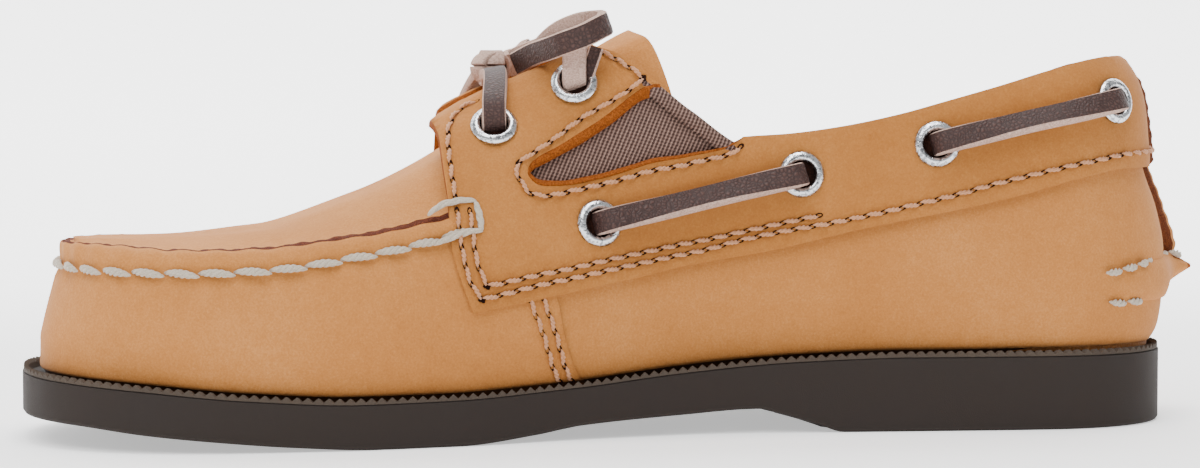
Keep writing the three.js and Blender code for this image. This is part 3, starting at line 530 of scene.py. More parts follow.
class Finish:
    """A material under construction."""

    def __init__(self, name):
        self.material = bpy.data.materials.new(name)
        self.material.use_nodes = True
        self.tree = self.material.node_tree
        self.tree.nodes.clear()
        self.where = self.node("TexCoord", {}, {}, "Object")

    def node(self, kind, settings, sockets, out=0):
        made = self.tree.nodes.new("ShaderNode" + kind)
        for name, value in settings.items():
            if name == "stops":
                while len(made.color_ramp.elements) < len(value):
                    made.color_ramp.elements.new(0.5)
                for element, (position, colour) in zip(made.color_ramp.elements, value):
                    element.position = position
                    element.color = colour
            else:
                setattr(made, name, value)
        for key, value in sockets.items():
            if isinstance(value, Value):
                self.tree.links.new(value.socket, made.inputs[key])
            else:
                made.inputs[key].default_value = value
        return Value(self, made.outputs[out])

    def noise(self, size, detail=2.0, rough=0.5):
        """Noise whose grains are about that size in millimetres, from 0 to 1."""
        sockets = {"Vector": self.where, "Scale": 1 / (size * MM), "Detail": detail, "Roughness": rough}
        return self.node("TexNoise", {}, sockets)

    def ramp(self, amount, *stops):
        return self.node("ValToRGB", {"stops": stops}, {"Fac": amount})

    def mix(self, amount, first, second):
        return self.node("Mix", {"data_type": "RGBA"}, {0: amount, 6: first, 7: second}, 2)

    def axis(self, name):
        return self.node("SeparateXYZ", {}, {0: self.where}, name)

    def surface(self, colour, roughness, height=None, depth=0.1, **constants):
        sockets = {"Base Color": colour, "Roughness": roughness}
        if height is not None:
            bump = {"Strength": 1.0, "Distance": depth * MM, "Height": height}
            sockets["Normal"] = self.node("Bump", {}, bump)
        sockets.update({name.replace("_", " "): value for name, value in constants.items()})
        shader = self.node("BsdfPrincipled", {}, sockets)
        end = self.tree.nodes.new("ShaderNodeOutputMaterial")
        self.tree.links.new(shader.socket, end.inputs["Surface"])
        return self.material


def shade(red, green, blue):
    """Colour of the finished piece as seen, from 0 to 255 a channel."""
    return (*[((c / 255 + 0.055) / 1.055) ** 2.4 if c > 10 else c / 3294.6 for c in (red, green, blue)], 1.0)


def nubuck(name, deep, tone, pale):
    f = Finish(name)
    speck = f.noise(0.42, 3, 0.75)
    cloud = f.noise(2.2, 2, 0.6)
    drift = f.noise(24, 2, 0.5)
    amount = 0.5 + 0.75 * (speck - 0.5) + 0.22 * (cloud - 0.5) + 0.4 * (drift - 0.5)
    colour = f.ramp(amount, (0.15, deep), (0.5, tone), (0.85, pale))
    nap = f.noise(0.28, 2, 0.6) + 0.6 * f.noise(0.9, 2)
    # Painted shade: the point attribute 'foot' darkens the leather towards shade(34, 16, 8) low on the upper,
    # by the sole.
    painted_shade_mask = f.node("Attribute", {"attribute_name": "foot"}, {}, "Fac")
    colour = f.mix(painted_shade_mask, colour, shade(34, 16, 8))
    return f.surface(colour, 0.9 + 0.1 * (speck - 0.5), nap, 0.07, Sheen_Weight=0.05, Sheen_Roughness=0.5,
                     Specular_IOR_Level=0.15)


def raw_leather(name, deep, tone, pale):
    f = Finish(name)
    fibre = f.noise(0.35, 4, 0.75)
    colour = f.ramp(fibre, (0.3, deep), (0.5, tone), (0.72, pale))
    return f.surface(colour, 0.92, fibre + f.noise(0.15, 2), 0.14, Specular_IOR_Level=0.15)


def smooth_leather(name, deep, tone, rough, pebble):
    f = Finish(name)
    sockets = {"Vector": f.where, "Scale": 1 / (pebble * MM)}
    cells = f.node("TexVoronoi", {"feature": "DISTANCE_TO_EDGE"}, sockets, "Distance")
    patch = f.noise(3, 3, 0.6)
    colour = f.mix(1.5 * cells + 0.3 * patch, deep, tone)
    return f.surface(colour, rough + 0.2 * (patch - 0.5), cells * 1.5 + 0.4 * f.noise(0.2), 0.2,
                     Specular_IOR_Level=0.3)


def moulded_rubber(name, deep, tone, rough):
    f = Finish(name)
    patch = f.noise(9, 3, 0.55)
    rough = rough + 0.25 * (patch - 0.5)
    return f.surface(f.mix(patch, deep, tone), rough, f.noise(0.25, 2, 0.6), 0.03, Specular_IOR_Level=0.25)


def ribbed_elastic(name):
    """Elastic with close ribs across its length and finer cross threads."""
    f = Finish(name)

    def bands(axis, lean, pitch):
        sockets = {"Vector": f.where, "Angle": math.radians(lean)}
        turned = f.node("VectorRotate", {"rotation_type": "Y_AXIS"}, sockets)
        sockets = {"Vector": turned, "Scale": math.pi / (10 * pitch * MM), "Distortion": 0.25, "Detail": 1.0,
                   "Detail Scale": 90.0}
        return f.node("TexWave", {"bands_direction": axis, "wave_profile": "SIN"}, sockets, "Fac")

    weave = bands("X", 25, 0.72) * 0.7 + bands("Z", 14, 0.62) * 0.3
    amount = weave + 0.3 * (f.noise(0.3) - 0.5)
    colour = f.ramp(amount, (0.12, shade(60, 42, 37)), (0.5, shade(108, 82, 73)), (0.9, shade(150, 122, 110)))
    return f.surface(colour, 0.9, weave, 0.4, Specular_IOR_Level=0.2)


def thread_finish(name, deep, tone):
    f = Finish(name)
    fibre = f.noise(0.22, 3, 0.7)
    return f.surface(f.mix(fibre, deep, tone), 0.7, fibre, 0.05, Sheen_Weight=0.2, Specular_IOR_Level=0.3)


def plated_metal(name):
    f = Finish(name)
    haze = f.noise(0.8, 3, 0.6)
    marks = f.ramp(f.noise(0.6, 1, 0.4), (0.36, (0, 0, 0, 1)), (0.5, (1, 1, 1, 1)))
    colour = f.mix(marks, shade(150, 152, 156), f.mix(haze, shade(196, 198, 202), shade(228, 230, 232)))
    return f.surface(colour, 0.14 + 0.2 * haze, marks, 0.03, Metallic=1.0)


FINISHES = {
    "nubuck": nubuck("nubuck_tan", shade(158, 98, 42), shade(181, 119, 60), shade(201, 142, 83)),
    "facing": nubuck("nubuck_facing", shade(146, 88, 36), shade(167, 108, 51), shade(187, 129, 71)),
    "raw": raw_leather("raw_edge", shade(84, 36, 10), shade(134, 68, 18), shade(168, 96, 36)),
    "seam_raw": raw_leather("seam_edge", shade(50, 20, 8), shade(92, 42, 14), shade(128, 66, 26)),
    "dark_raw": raw_leather("burnt_edge", shade(44, 16, 8), shade(82, 34, 16), shade(130, 66, 34)),
    "lining": smooth_leather("lining_leather", shade(158, 98, 48), shade(186, 124, 66), 0.7, 0.7),
    "rubber": moulded_rubber("sole_rubber", shade(37, 30, 27), shade(45, 38, 34), 0.8),
    "rim_rubber": moulded_rubber("rim_rubber", shade(60, 51, 44), shade(76, 66, 57), 0.85),
    "elastic": ribbed_elastic("ribbed_elastic"),
    "metal": plated_metal("plated_ring"),
    "lace": smooth_leather("lace_face", shade(34, 19, 17), shade(84, 58, 52), 0.55, 0.75),
    "lace_edge": raw_leather("lace_cut_edge", shade(142, 110, 98), shade(186, 156, 142),
                             shade(212, 186, 172)),
    "lock_thread": thread_finish("machine_thread", shade(156, 98, 62), shade(216, 164, 124)),
    "hand_thread": thread_finish("hand_thread", shade(128, 112, 94), shade(216, 205, 188)),
    # Near-black finish for dark pits, discs and cords: painted shade in needle holes, eyelets and the heel
    # fold.
    "hole": raw_leather("painted_recess_shade", shade(22, 9, 5), shade(38, 17, 10), shade(60, 30, 18)),
}


# Mesh work

def finish_piece(name, points, faces, finishes, replaces=(), kinds=None, at_angle=None, foot=None):
    """A shown piece from points in millimetres. kinds gives each face its place in the list of finishes."""
    mesh = bpy.data.meshes.new(name)
    mesh.from_pydata((np.asarray(points) * MM).tolist(), [], faces)
    for finish in finishes:
        mesh.materials.append(FINISHES[finish])
    if kinds is not None:
        mesh.polygons.foreach_set("material_index", np.asarray(kinds, np.int32))
    mesh.polygons.foreach_set("use_smooth", np.full(len(mesh.polygons), True))
    mesh.validate()
    mesh.update()
    if at_angle:
        mesh.set_sharp_from_angle(angle=math.radians(at_angle))
    # The 'foot' attribute carries the painted shade along the foot of the upper.
    if foot is not None and len(foot) == len(mesh.vertices):
        mesh.attributes.new("foot", "FLOAT", "POINT").data.foreach_set("value", np.asarray(foot, np.float32))
    piece = bpy.data.objects.new(name, mesh)
    bpy.context.scene.collection.objects.link(piece)
    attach(piece, "root")
    if replaces:
        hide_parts(*replaces)
    return piece


def net(rows, cols, closed=False, start=0):
    """Faces of a net of points stored row by row. A closed net joins its last column to its first."""
    i = np.arange(rows - 1)[:, None]
    j = np.arange(cols if closed else cols - 1)[None, :]
    a, b = i * cols + j, i * cols + (j + 1) % cols
    return (np.stack([a, b, b + cols, a + cols], -1).reshape(-1, 4) + start).tolist()


def border(rows, cols):
    """Pairs of point numbers round the edge of a net."""
    edge = [r * cols for r in range(rows)] + [(rows - 1) * cols + c for c in range(1, cols)]
    edge += [r * cols + cols - 1 for r in range(rows - 2, -1, -1)] + list(range(cols - 2, 0, -1))
    return list(zip(edge, [*edge[1:], edge[0]]))


def joined(parts):
    """One mesh from parts, each with its points, its faces and their finishes."""
    points, faces, kinds, base = [], [], [], 0
    for part, made, kind in parts:
        faces += [[k + base for k in face] for face in made]
        kinds += list(kind)
        points.append(part)
        base += len(part)
    return np.vstack(points), faces, kinds


def inside(points, rim):
    """Which points lie inside a closed line."""
    x, y = points[:, 0][:, None], points[:, 1][:, None]
    x1, y1 = rim[:, 0][None, :], rim[:, 1][None, :]
    x2, y2 = np.roll(rim[:, 0], -1)[None, :], np.roll(rim[:, 1], -1)[None, :]
    cross = (y1 > y) != (y2 > y)
    at_x = x1 + (y - y1) * (x2 - x1) / np.where(np.abs(y2 - y1) < 1e-12, 1e-12, y2 - y1)
    return (cross & (x < at_x)).sum(1) % 2 == 1


def nearness(points, line):
    """Distance of each point to the nearest point of a finely stepped line."""
    best = np.full(len(points), 1e9)
    for part in np.array_split(line, max(1, len(line) // 400)):
        gap = np.hypot(points[:, 0][:, None] - part[:, 0], points[:, 1][:, None] - part[:, 1]).min(1)
        best = np.minimum(best, gap)
    return best


def cut_flat(rim, holes, lines, step):
    """Triangles over a cut piece of leather laid flat, with extra points along its stitch lines."""
    loops = [even_run(np.vstack([loop, loop[:1]]), min(step, 1.0))[:-1] for loop in [rim, *holes]]
    border = np.vstack(loops)
    low, high = rim.min(0), rim.max(0)
    xs = np.arange(low[0], high[0], step)
    ys = np.arange(low[1], high[1], step * 0.87)
    grid = np.stack(np.meshgrid(xs, ys), -1)
    grid[1::2, :, 0] += step / 2
    grid = grid.reshape(-1, 2)
    extra = []
    for line in lines:
        run = even_run(line, 1.1)
        side = unit(np.gradient(run, axis=0))[:, ::-1] * [1, -1]
        extra += [run, run + 0.85 * side, run - 0.85 * side]
    extra = np.vstack(extra) if extra else np.zeros((0, 2))
    if len(extra):
        grid = grid[nearness(grid, extra) > 0.6 * step]
        extra = extra[nearness(extra, border) > 0.5]
    grid = grid[nearness(grid, border) > 0.5 * step]
    inner = np.vstack([grid, extra])
    keep = inside(inner, loops[0])
    for hole in loops[1:]:
        keep &= ~inside(inner, hole)
    inner = inner[keep]
    edges, start = [], 0
    for loop in loops:
        count = len(loop)
        edges += [(start + k, start + (k + 1) % count) for k in range(count)]
        start += count
    points = [Vector(p) for p in np.vstack([border, inner])]
    made, _, faces, *_ = delaunay_2d_cdt(points, edges, [], 0, 1e-5)
    flat = np.array([tuple(p) for p in made])
    faces = np.array([tuple(face) for face in faces])
    middle = flat[faces].mean(1)
    keep = inside(middle, loops[0])
    for hole in loops[1:]:
        keep &= ~inside(middle, hole)
    faces = faces[keep]
    used, faces = np.unique(faces, return_inverse=True)
    flat, faces = flat[used], faces.reshape(-1, 3)
    a, b, c = flat[faces[:, 0]], flat[faces[:, 1]], flat[faces[:, 2]]
    turn = (b - a)[:, 0] * (c - a)[:, 1] - (b - a)[:, 1] * (c - a)[:, 0]
    faces[turn < 0] = faces[turn < 0][:, ::-1]
    pairs = np.concatenate([faces[:, [0, 1]], faces[:, [1, 2]], faces[:, [2, 0]]])
    known = {tuple(pair) for pair in pairs.tolist()}
    rim_pairs = np.array([pair for pair in known if (pair[1], pair[0]) not in known])
    return flat, faces, rim_pairs


def painted_foot_shade(up):
    """Painted shade: a soft dark line where the upper meets the rim of the sole, and a faint wider darkening
    low on the upper.
    """
    return 0.78 * np.exp(-(np.maximum(up - 0.7, 0) / 1.1) ** 1.6) + 0.14 * np.exp(-(up / 7) ** 2)


def leather_piece(name, sign, rim, grow_in, grow_out, lift, finishes, slot, replaces=(), holes=(), lines=(),
                  step=1.4, relief=None):
    """A cut piece of leather laid on the last: face, flesh side and raw edge."""
    flat, faces, rim_pairs = cut_flat(rim, holes, lines, step)
    way, up = flat[:, 0], flat[:, 1]
    normal = facing_out(way, up, sign, lift)
    push = np.zeros(len(flat))
    push[np.unique(rim_pairs)] -= EDGE_ROUND
    for line in lines:
        push -= DENT_DEPTH * np.exp(-(nearness(flat, even_run(line, 0.3)) / DENT_HALF) ** 2)
    if relief is not None:
        push += relief(way, up)
    outer = place(way, up, sign, grow_out, lift) + normal * push[:, None]
    inner = place(way, up, sign, grow_in, lift)
    count = len(flat)
    order = [2, 1, 0] if sign > 0 else [0, 1, 2]
    back = order[::-1]
    middle = 0.5 * (outer + inner) + normal * 0.5 * (grow_out - grow_in - EDGE_ROUND) * 0.3
    points = np.vstack([outer, inner, outer, middle, inner])
    a, b = rim_pairs[:, 0], rim_pairs[:, 1]
    if sign > 0:
        a, b = b, a
    walls = np.vstack([np.stack([b + low, a + low, a + low + count, b + low + count], -1)
                       for low in (2 * count, 3 * count)])
    all_faces = faces[:, order].tolist() + (faces[:, back] + count).tolist() + walls.tolist()
    kinds = [0] * len(faces) + [1] * len(faces) + [2] * len(walls)
    used = np.unique(np.concatenate([np.ravel(face) for face in all_faces]))
    place_of = dict(zip(used.tolist(), range(len(used))))
    all_faces = [[place_of[k] for k in face] for face in all_faces]
    # The leather gets painted shade along its foot, by the sole.
    return finish_piece(name, points[used], all_faces, finishes, replaces, kinds,
                        foot=painted_foot_shade(np.tile(up, 5)[used]))


def cords(centres, normals, radius, flat=1.0, sides=6, plies=1, turns=2.0, taper=0.35):
    """Twisted threads: one short cord along each row of centres. Returns points and faces."""
    count, steps, _ = centres.shape
    run = unit(np.gradient(centres, axis=1))
    across = unit(np.cross(run, normals))
    above = unit(np.cross(across, run))
    t = np.linspace(0, 1, steps)
    thin = (np.sin(np.pi * np.clip(t, 0.0, 1.0)) ** taper if taper else np.ones(steps))[None, :, None]
    thin = np.maximum(thin, 0.2)
    points, faces = [], []
    for ply in range(plies):
        turn = 2 * np.pi * (turns * t + ply / plies)[None, :, None]
        shift = 0.5 * radius if plies > 1 else 0
        middle = centres + shift * thin * (np.cos(turn) * across + flat * np.sin(turn) * above)
        girth = radius * (0.66 if plies > 1 else 1.0) * thin
        ring = 2 * np.pi * np.arange(sides) / sides
        for angle in ring:
            points.append(middle + girth * (math.cos(angle) * across + flat * math.sin(angle) * above))
    grid = np.stack(points, 2).reshape(count, steps, plies, sides, 3).transpose(0, 2, 1, 3, 4)
    for base in range(0, count * plies * steps * sides, steps * sides):
        faces += net(steps, sides, closed=True, start=base)
        faces.append([base + s for s in range(sides)][::-1])
        faces.append([base + (steps - 1) * sides + s for s in range(sides)])
    return grid.reshape(-1, 3), faces


def sew(name, runs, pitch, radius, finish, plies, slant, sink=0.3, holes=True, over=0.0, taper=0.35,
        steps=11):
    """Stitches along runs. Each run gives its points and outward normals on the leather, finely stepped."""
    rise = 0.5
    centres, normals, spots, spot_normals, spot_runs = [], [], [], [], []
    for points, outward in runs:
        way = way_along(points)
        count = max(1, int(round(way[-1] / pitch)))
        long = way[-1] / count
        for k in range(count):
            t = np.linspace(0.03, 0.97, steps)
            stops = np.clip((k + 0.5 + (t - 0.5) * (1 + over)) * long, 0, way[-1])
            line = read_off(stops, way, points)
            out = unit(read_off(stops, way, outward))
            side = unit(np.cross(np.gradient(line, axis=0), out))
            lean = slant * pitch * (t - 0.5)[:, None] * side
            lift = (-sink * (1.4 * t + 0.3) + (rise + sink) * np.sin(np.pi * t) ** 0.55)[:, None] * out
            centres.append(line + lean + lift)
            normals.append(out)
        for k in range(count + 1):
            stop = min(k * long, way[-1])
            spots.append(read_off(stop, way, points))
            spot_normals.append(read_off(stop, way, outward))
            before, after = max(stop - 0.3, 0), min(stop + 0.3, way[-1])
            spot_runs.append(read_off(after, way, points) - read_off(before, way, points))
    points, faces = cords(np.array(centres), np.array(normals), radius, 0.75, plies=plies, taper=taper)
    finish_piece(name, points, faces, [finish])
    # Dark pits at the needle holes: painted shade of the holes and of the thread between stitches.
    if holes:
        centre, out, run = np.array(spots), unit(np.array(spot_normals)), unit(np.array(spot_runs))
        side = np.cross(run, out)
        ring = 2 * np.pi * np.arange(8) / 8
        wide = 1.15 * radius
        loop = [centre + wide * (1.7 * math.cos(a) * run + math.sin(a) * side) + 0.03 * out for a in ring]
        pits = np.stack([*loop, centre - 0.5 * out], 1)
        faces = [[9 * k + s, 9 * k + (s + 1) % 8, 9 * k + 8] for k in range(len(pits)) for s in range(8)]
        finish_piece(name + "_holes", pits.reshape(-1, 3), faces, ["hole"])


# Lace

def strip_mesh(points, faces_up, width, thick):
    """Flat leather lace with its face, cut edges and flesh side. Returns points, faces and their kinds."""
    run = unit(np.gradient(points, axis=0))
    across = unit(np.cross(run, faces_up))
    face = unit(np.cross(across, run))
    w, t = width / 2, thick / 2
    corners = [(-w, 0.55 * t), (-w + 0.25, 0.95 * t), (-0.5 * w, 1.04 * t), (0, t), (0.5 * w, 1.04 * t),
               (w - 0.25, 0.95 * t), (w, 0.55 * t), (w, -0.7 * t), (w - 0.2, -t), (0, -0.96 * t),
               (-w + 0.2, -t), (-w, -0.7 * t)]
    kinds = [1, 0, 0, 0, 0, 1, 1, 1, 2, 2, 1, 1]
    count, sides = len(points), len(corners)
    ring = np.array(corners)
    grid = points[:, None] + ring[None, :, :1] * across[:, None] + ring[None, :, 1:] * face[:, None]
    made = net(count, sides, closed=True)
    finishes = kinds * (count - 1)
    made.append(list(range(sides))[::-1])
    made.append([(count - 1) * sides + s for s in range(sides)])
    return grid.reshape(-1, 3), made, [*finishes, 1, 1]


LACE_FINISHES = ["lace", "lace_edge", "lace_edge"]
TURNED_LACE = ["lace_edge", "lace_edge", "lace"]
knot_low, knot_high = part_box("bow_knot")
KNOT = (np.array(knot_low) + np.array(knot_high)) / 2 / MM


def bow_loop(name, text):
    rows = columns(text)
    path = smooth_run(KNOT + np.stack([rows["x"], rows["y"], rows["z"]], -1), 0.6)
    finishes = TURNED_LACE
    if name.endswith("near"):
        share = np.linspace(0, 1, len(path))
        path[:, 2] -= 3.0 * np.clip((share - 0.6) / 0.22, 0, 1) ** 2
        finishes = LACE_FINISHES
    face = np.cross(np.gradient(path, axis=0), (0.35, 0, 1))
    points, faces, kinds = strip_mesh(path, face, LACE_WIDTH, BOW_THICK)
    piece = finish_piece(name, points, faces, finishes, [name], kinds, at_angle=50)
    return piece, path


def knot_piece():
    """Two turns of lace, each with its long way, sideways way, half sizes, offset and width."""
    turns = (((0, 1, 0), (1, 0, 0), 3.1, 2.7, -0.6, LACE_WIDTH),
             ((0.75, 0.55, 0), (-0.55, 0.75, 0), 3.3, 2.3, 0.8, 3.6))
    upright = np.array((0.0, 0.0, 1.0))
    parts = []
    for first, shift, long, high, offset, width in turns:
        angle = np.linspace(0.2, 2 * np.pi + 0.1, 40)[:, None]
        first, shift = unit(np.array(first, float)), unit(np.array(shift, float))
        path = KNOT + long * np.cos(angle) * first + high * np.sin(angle) * upright + offset * shift
        out = np.cos(angle) * first / long + np.sin(angle) * upright / high
        parts.append(strip_mesh(path, -out, width, 1.5))
    points, faces, kinds = joined(parts)
    return finish_piece("knot", points, faces, LACE_FINISHES, ["bow_knot"], kinds, at_angle=50)


knot = knot_piece()
for loop_name, text in (("bow_loop_near", BOW_NEAR), ("bow_loop_far", BOW_FAR)):
    loop, route = bow_loop(loop_name, text)


# Outlines of the cut pieces, in way and height on the skin

SIDES = {"medial": 1, "lateral": -1}
SADDLE_GROW = (0.3, 1.9)
ON_SADDLE = (SADDLE_GROW[1], 1.0)
HEEL_SPLIT = 0.9
FRONT_WAY = float(way_of(at_of(0.52 * LENGTH)))
EYELET_ROWS = [line.split() for line in EYELETS.strip().splitlines()[1:]]


def throat_run(front, back, sign, grow, lift):
    x = np.linspace(front, back, 30) * LENGTH
    return np.stack([way_of(at_of(x)), up_to_side(x, throat_half(x), sign, grow, lift)], -1)


def collar_run(sign, grow, lift, end_way):
    x = np.linspace(0.259 * LENGTH, -20.5, 40)
    z = COLLAR_HEIGHT * follow(COLLAR_ROWS, "up", at_of(x)) - side_drop(x, sign)
    if sign < 0:
        z = z - 2.2 * np.exp(-((x + 5) / 12) ** 2)
    run = locate(x, z, sign, grow, lift)
    run = run[run[:, 0] > end_way + 1.5]
    return np.vstack([run, [[end_way, run[-1, 1]]]])


def under_throat(run, sign):
    """Keep a row below the edge of the throat."""
    x = np.interp(np.interp(run[:, 0], PLAN_WAY, PLAN_AT), [0, 1], [-HEEL_BACK, LENGTH - HEEL_BACK])
    top = up_to_side(x, throat_half(x), sign, *ON_SADDLE)
    return np.stack([run[:, 0], np.minimum(run[:, 1], np.where(x > 0.38 * LENGTH, top, 1e3))], -1)


def heel_ease(way):
    """The leather draws in a little beside the seam down the back."""
    return HEEL_DRAWN_IN * np.exp(-(way / 9) ** 2)


def quarter(side, sign):
    gore = smooth_run(located(GORE, sign), 0.8)
    lap = located("0.430 0.090  0.440 0.200  0.450 0.330  0.470 0.440  0.500 0.520  0.505 0.600", sign)
    throat = throat_run(0.505, 0.395, sign, 0, 0)
    bottom = np.array([[0.0, -0.6], [lap[0, 0], -0.6]])
    rim = np.vstack([bottom, lap[1:], throat, gore[::-1], collar_run(sign, 0, 0, 0.0)])
    leather_piece("quarter_" + side, sign, rim, INNER_GROW, 0.0, 0.0, ["nubuck", "lining", "raw"], "leather",
                  ["upper"] if sign > 0 else [], step=1.7,
                  relief=lambda way, up: -1.3 * np.exp(-(up / 1.6) ** 2) - heel_ease(way))
    return gore


def eyelet_spots(sign):
    x = np.array([float(row[1]) for row in EYELET_ROWS]) * LENGTH
    z = np.array([float(row[2]) for row in EYELET_ROWS]) * COLLAR_HEIGHT
    return locate(x, z - side_drop(x, sign), sign, *ON_SADDLE)


def round_hole(spot, sign, radius):
    """Circle on the skin round a spot."""
    way, up = spot
    run = place(np.array([way - 1, way + 1]), np.array([up, up]), sign, *ON_SADDLE)
    rise = place(np.array([way, way]), np.array([up - 1, up + 1]), sign, *ON_SADDLE)
    wide = 2 * radius / np.linalg.norm(run[1] - run[0])
    high = 2 * radius / np.linalg.norm(rise[1] - rise[0])
    angle = np.linspace(0, 2 * np.pi, 24, endpoint=False)
    return np.stack([way + wide * np.cos(angle), up + high * np.sin(angle)], -1)


def drawn_back(rows, sign):
    """The facing's front corner lies back a little, more so on the lateral side."""
    high = np.clip((rows[:, 1] - 31) / 8, 0, 1)
    near = np.clip((rows[:, 0] - FRONT_WAY + 16) / 10, 0, 1)
    back = (4.6 if sign < 0 else 1.2) * high * near
    return np.stack([rows[:, 0] - back, rows[:, 1]], -1)


def saddle(side, sign):
    def run(text):
        return smooth_run(located(text, sign, *ON_SADDLE), 0.8)

    front = under_throat(drawn_back(run(SADDLE_FRONT), sign), sign)
    throat = throat_run(0.511 if sign > 0 else 0.489, 0.393, sign, *ON_SADDLE)
    back = under_throat(run(SADDLE_BACK_TOP), sign)
    lower = run(GORE_LOWER)
    collar = collar_run(sign, *ON_SADDLE, HEEL_SPLIT)
    under = run(SADDLE_UNDER)
    under = under[under[:, 0] > HEEL_SPLIT + 1]
    heel_end = np.array([[HEEL_SPLIT, collar[-1, 1]], [HEEL_SPLIT, under[0, 1] + 0.4]])
    rim = np.vstack([front, throat, back[1:], run(GORE_UPPER), lower, collar[1:-1], heel_end, under[:-1]])
    holes = [round_hole(spot, sign, EYELET_HOLE + 0.6) for spot in eyelet_spots(sign)]
    lines = [drawn_back(run(text), sign) for text in STITCH_ROWS.values()]
    leather_piece("saddle_" + side, sign, rim, *SADDLE_GROW, 1.0, ["facing", "lining", "raw"], "facing",
                  ["saddle_" + side], holes, lines, step=1.5, relief=lambda way, up: -heel_ease(way))


def gore_bevel(side, sign):
    """Raw edge of the facing that shows round the elastic, widest along its upper side."""
    corners = np.vstack([located(text, sign, *ON_SADDLE) for text in (GORE_UPPER, GORE_LOWER)])
    line = smooth_run(corners, 0.6)
    side_way = unit(np.gradient(line, axis=0))[:, ::-1] * [1, -1]
    if (side_way * (corners.mean(0) - line)).sum() < 0:
        side_way = -side_way
    share = np.linspace(0, 1, len(line))
    wide = np.interp(share, [0, 0.03, 0.34, 0.42, 0.5, 0.97, 1], [0.6, 0.85, 0.75, 0.6, 0.5, 0.4, 0.2])
    wide = wide * (1 + 0.04 * np.sin(share * 61))
    rows = []
    for step, grow in ((-0.05, 1.5), (0.1, 1.72), (0.45, 1.55), (0.8, 1.2), (1.0, 0.7), (1.0, -0.1)):
        spot = line + side_way * (wide * step)[:, None]
        rows.append(place(spot[:, 0], spot[:, 1], sign, grow, 1.0))
    grid = np.stack(rows)
    finish_piece("gore_edge_" + side, grid.reshape(-1, 3), net(*grid.shape[:2]), ["raw"])


def gore_plate(side, sign, rim):
    leather_piece("gore_" + side, sign, rim, -1.4, -0.1, 0.0, ["elastic"] * 3, "elastic", ["gore_" + side])
    hem = rim[0] + (rim[-1] - rim[0]) * np.linspace(0, 1, 24)[:, None]
    path, outward = on_skin(hem, sign, 0.4)
    points, faces = cords(path[None], outward[None], 1.5, flat=0.75, sides=12, taper=0)
    finish_piece("gore_hem_" + side, points, faces, ["elastic"])


for side_name, side_sign in SIDES.items():
    gore_rim = quarter(side_name, side_sign)
    saddle(side_name, side_sign)
    gore_plate(side_name, side_sign, gore_rim)
    gore_bevel(side_name, side_sign)


# Vamp: wall, raised lip and apron

SEAM_ROW = side_row(SEAM)
LIP_ROW = side_row(LIP_EDGE)


def seam_up(way, row):
    """Height up the wall of a row that runs round the toe, the same on both sides."""
    run = locate(*row.T, 1, 0.7)
    return np.interp(way, *run[np.argsort(run[:, 0])].T)


def pucker(way, up, seam, depth):
    """Small swellings between the hand stitches."""
    swell = 0.5 - 0.5 * np.cos(2 * np.pi * (WAY_END - way) / HAND_PITCH)
    return depth * swell * np.exp(-((up - seam) / 5.0) ** 2)


def soft_folds(way, up, sign):
    """Shallow waves that the leather keeps from wear."""
    wave = 0.16 * np.sin(way / 6.1 + 0.4 * sign) * np.sin(up / 7.3 + 1.1)
    wave = wave + 0.12 * np.sin(way / 3.7 - up / 5.2 + 2.0)
    near = np.exp(-(((way - 212) / 9) ** 2 + ((up - 22) / 4) ** 2))
    return wave - 0.35 * near * np.sin((way - 212) / 2.2 + up / 3.0)


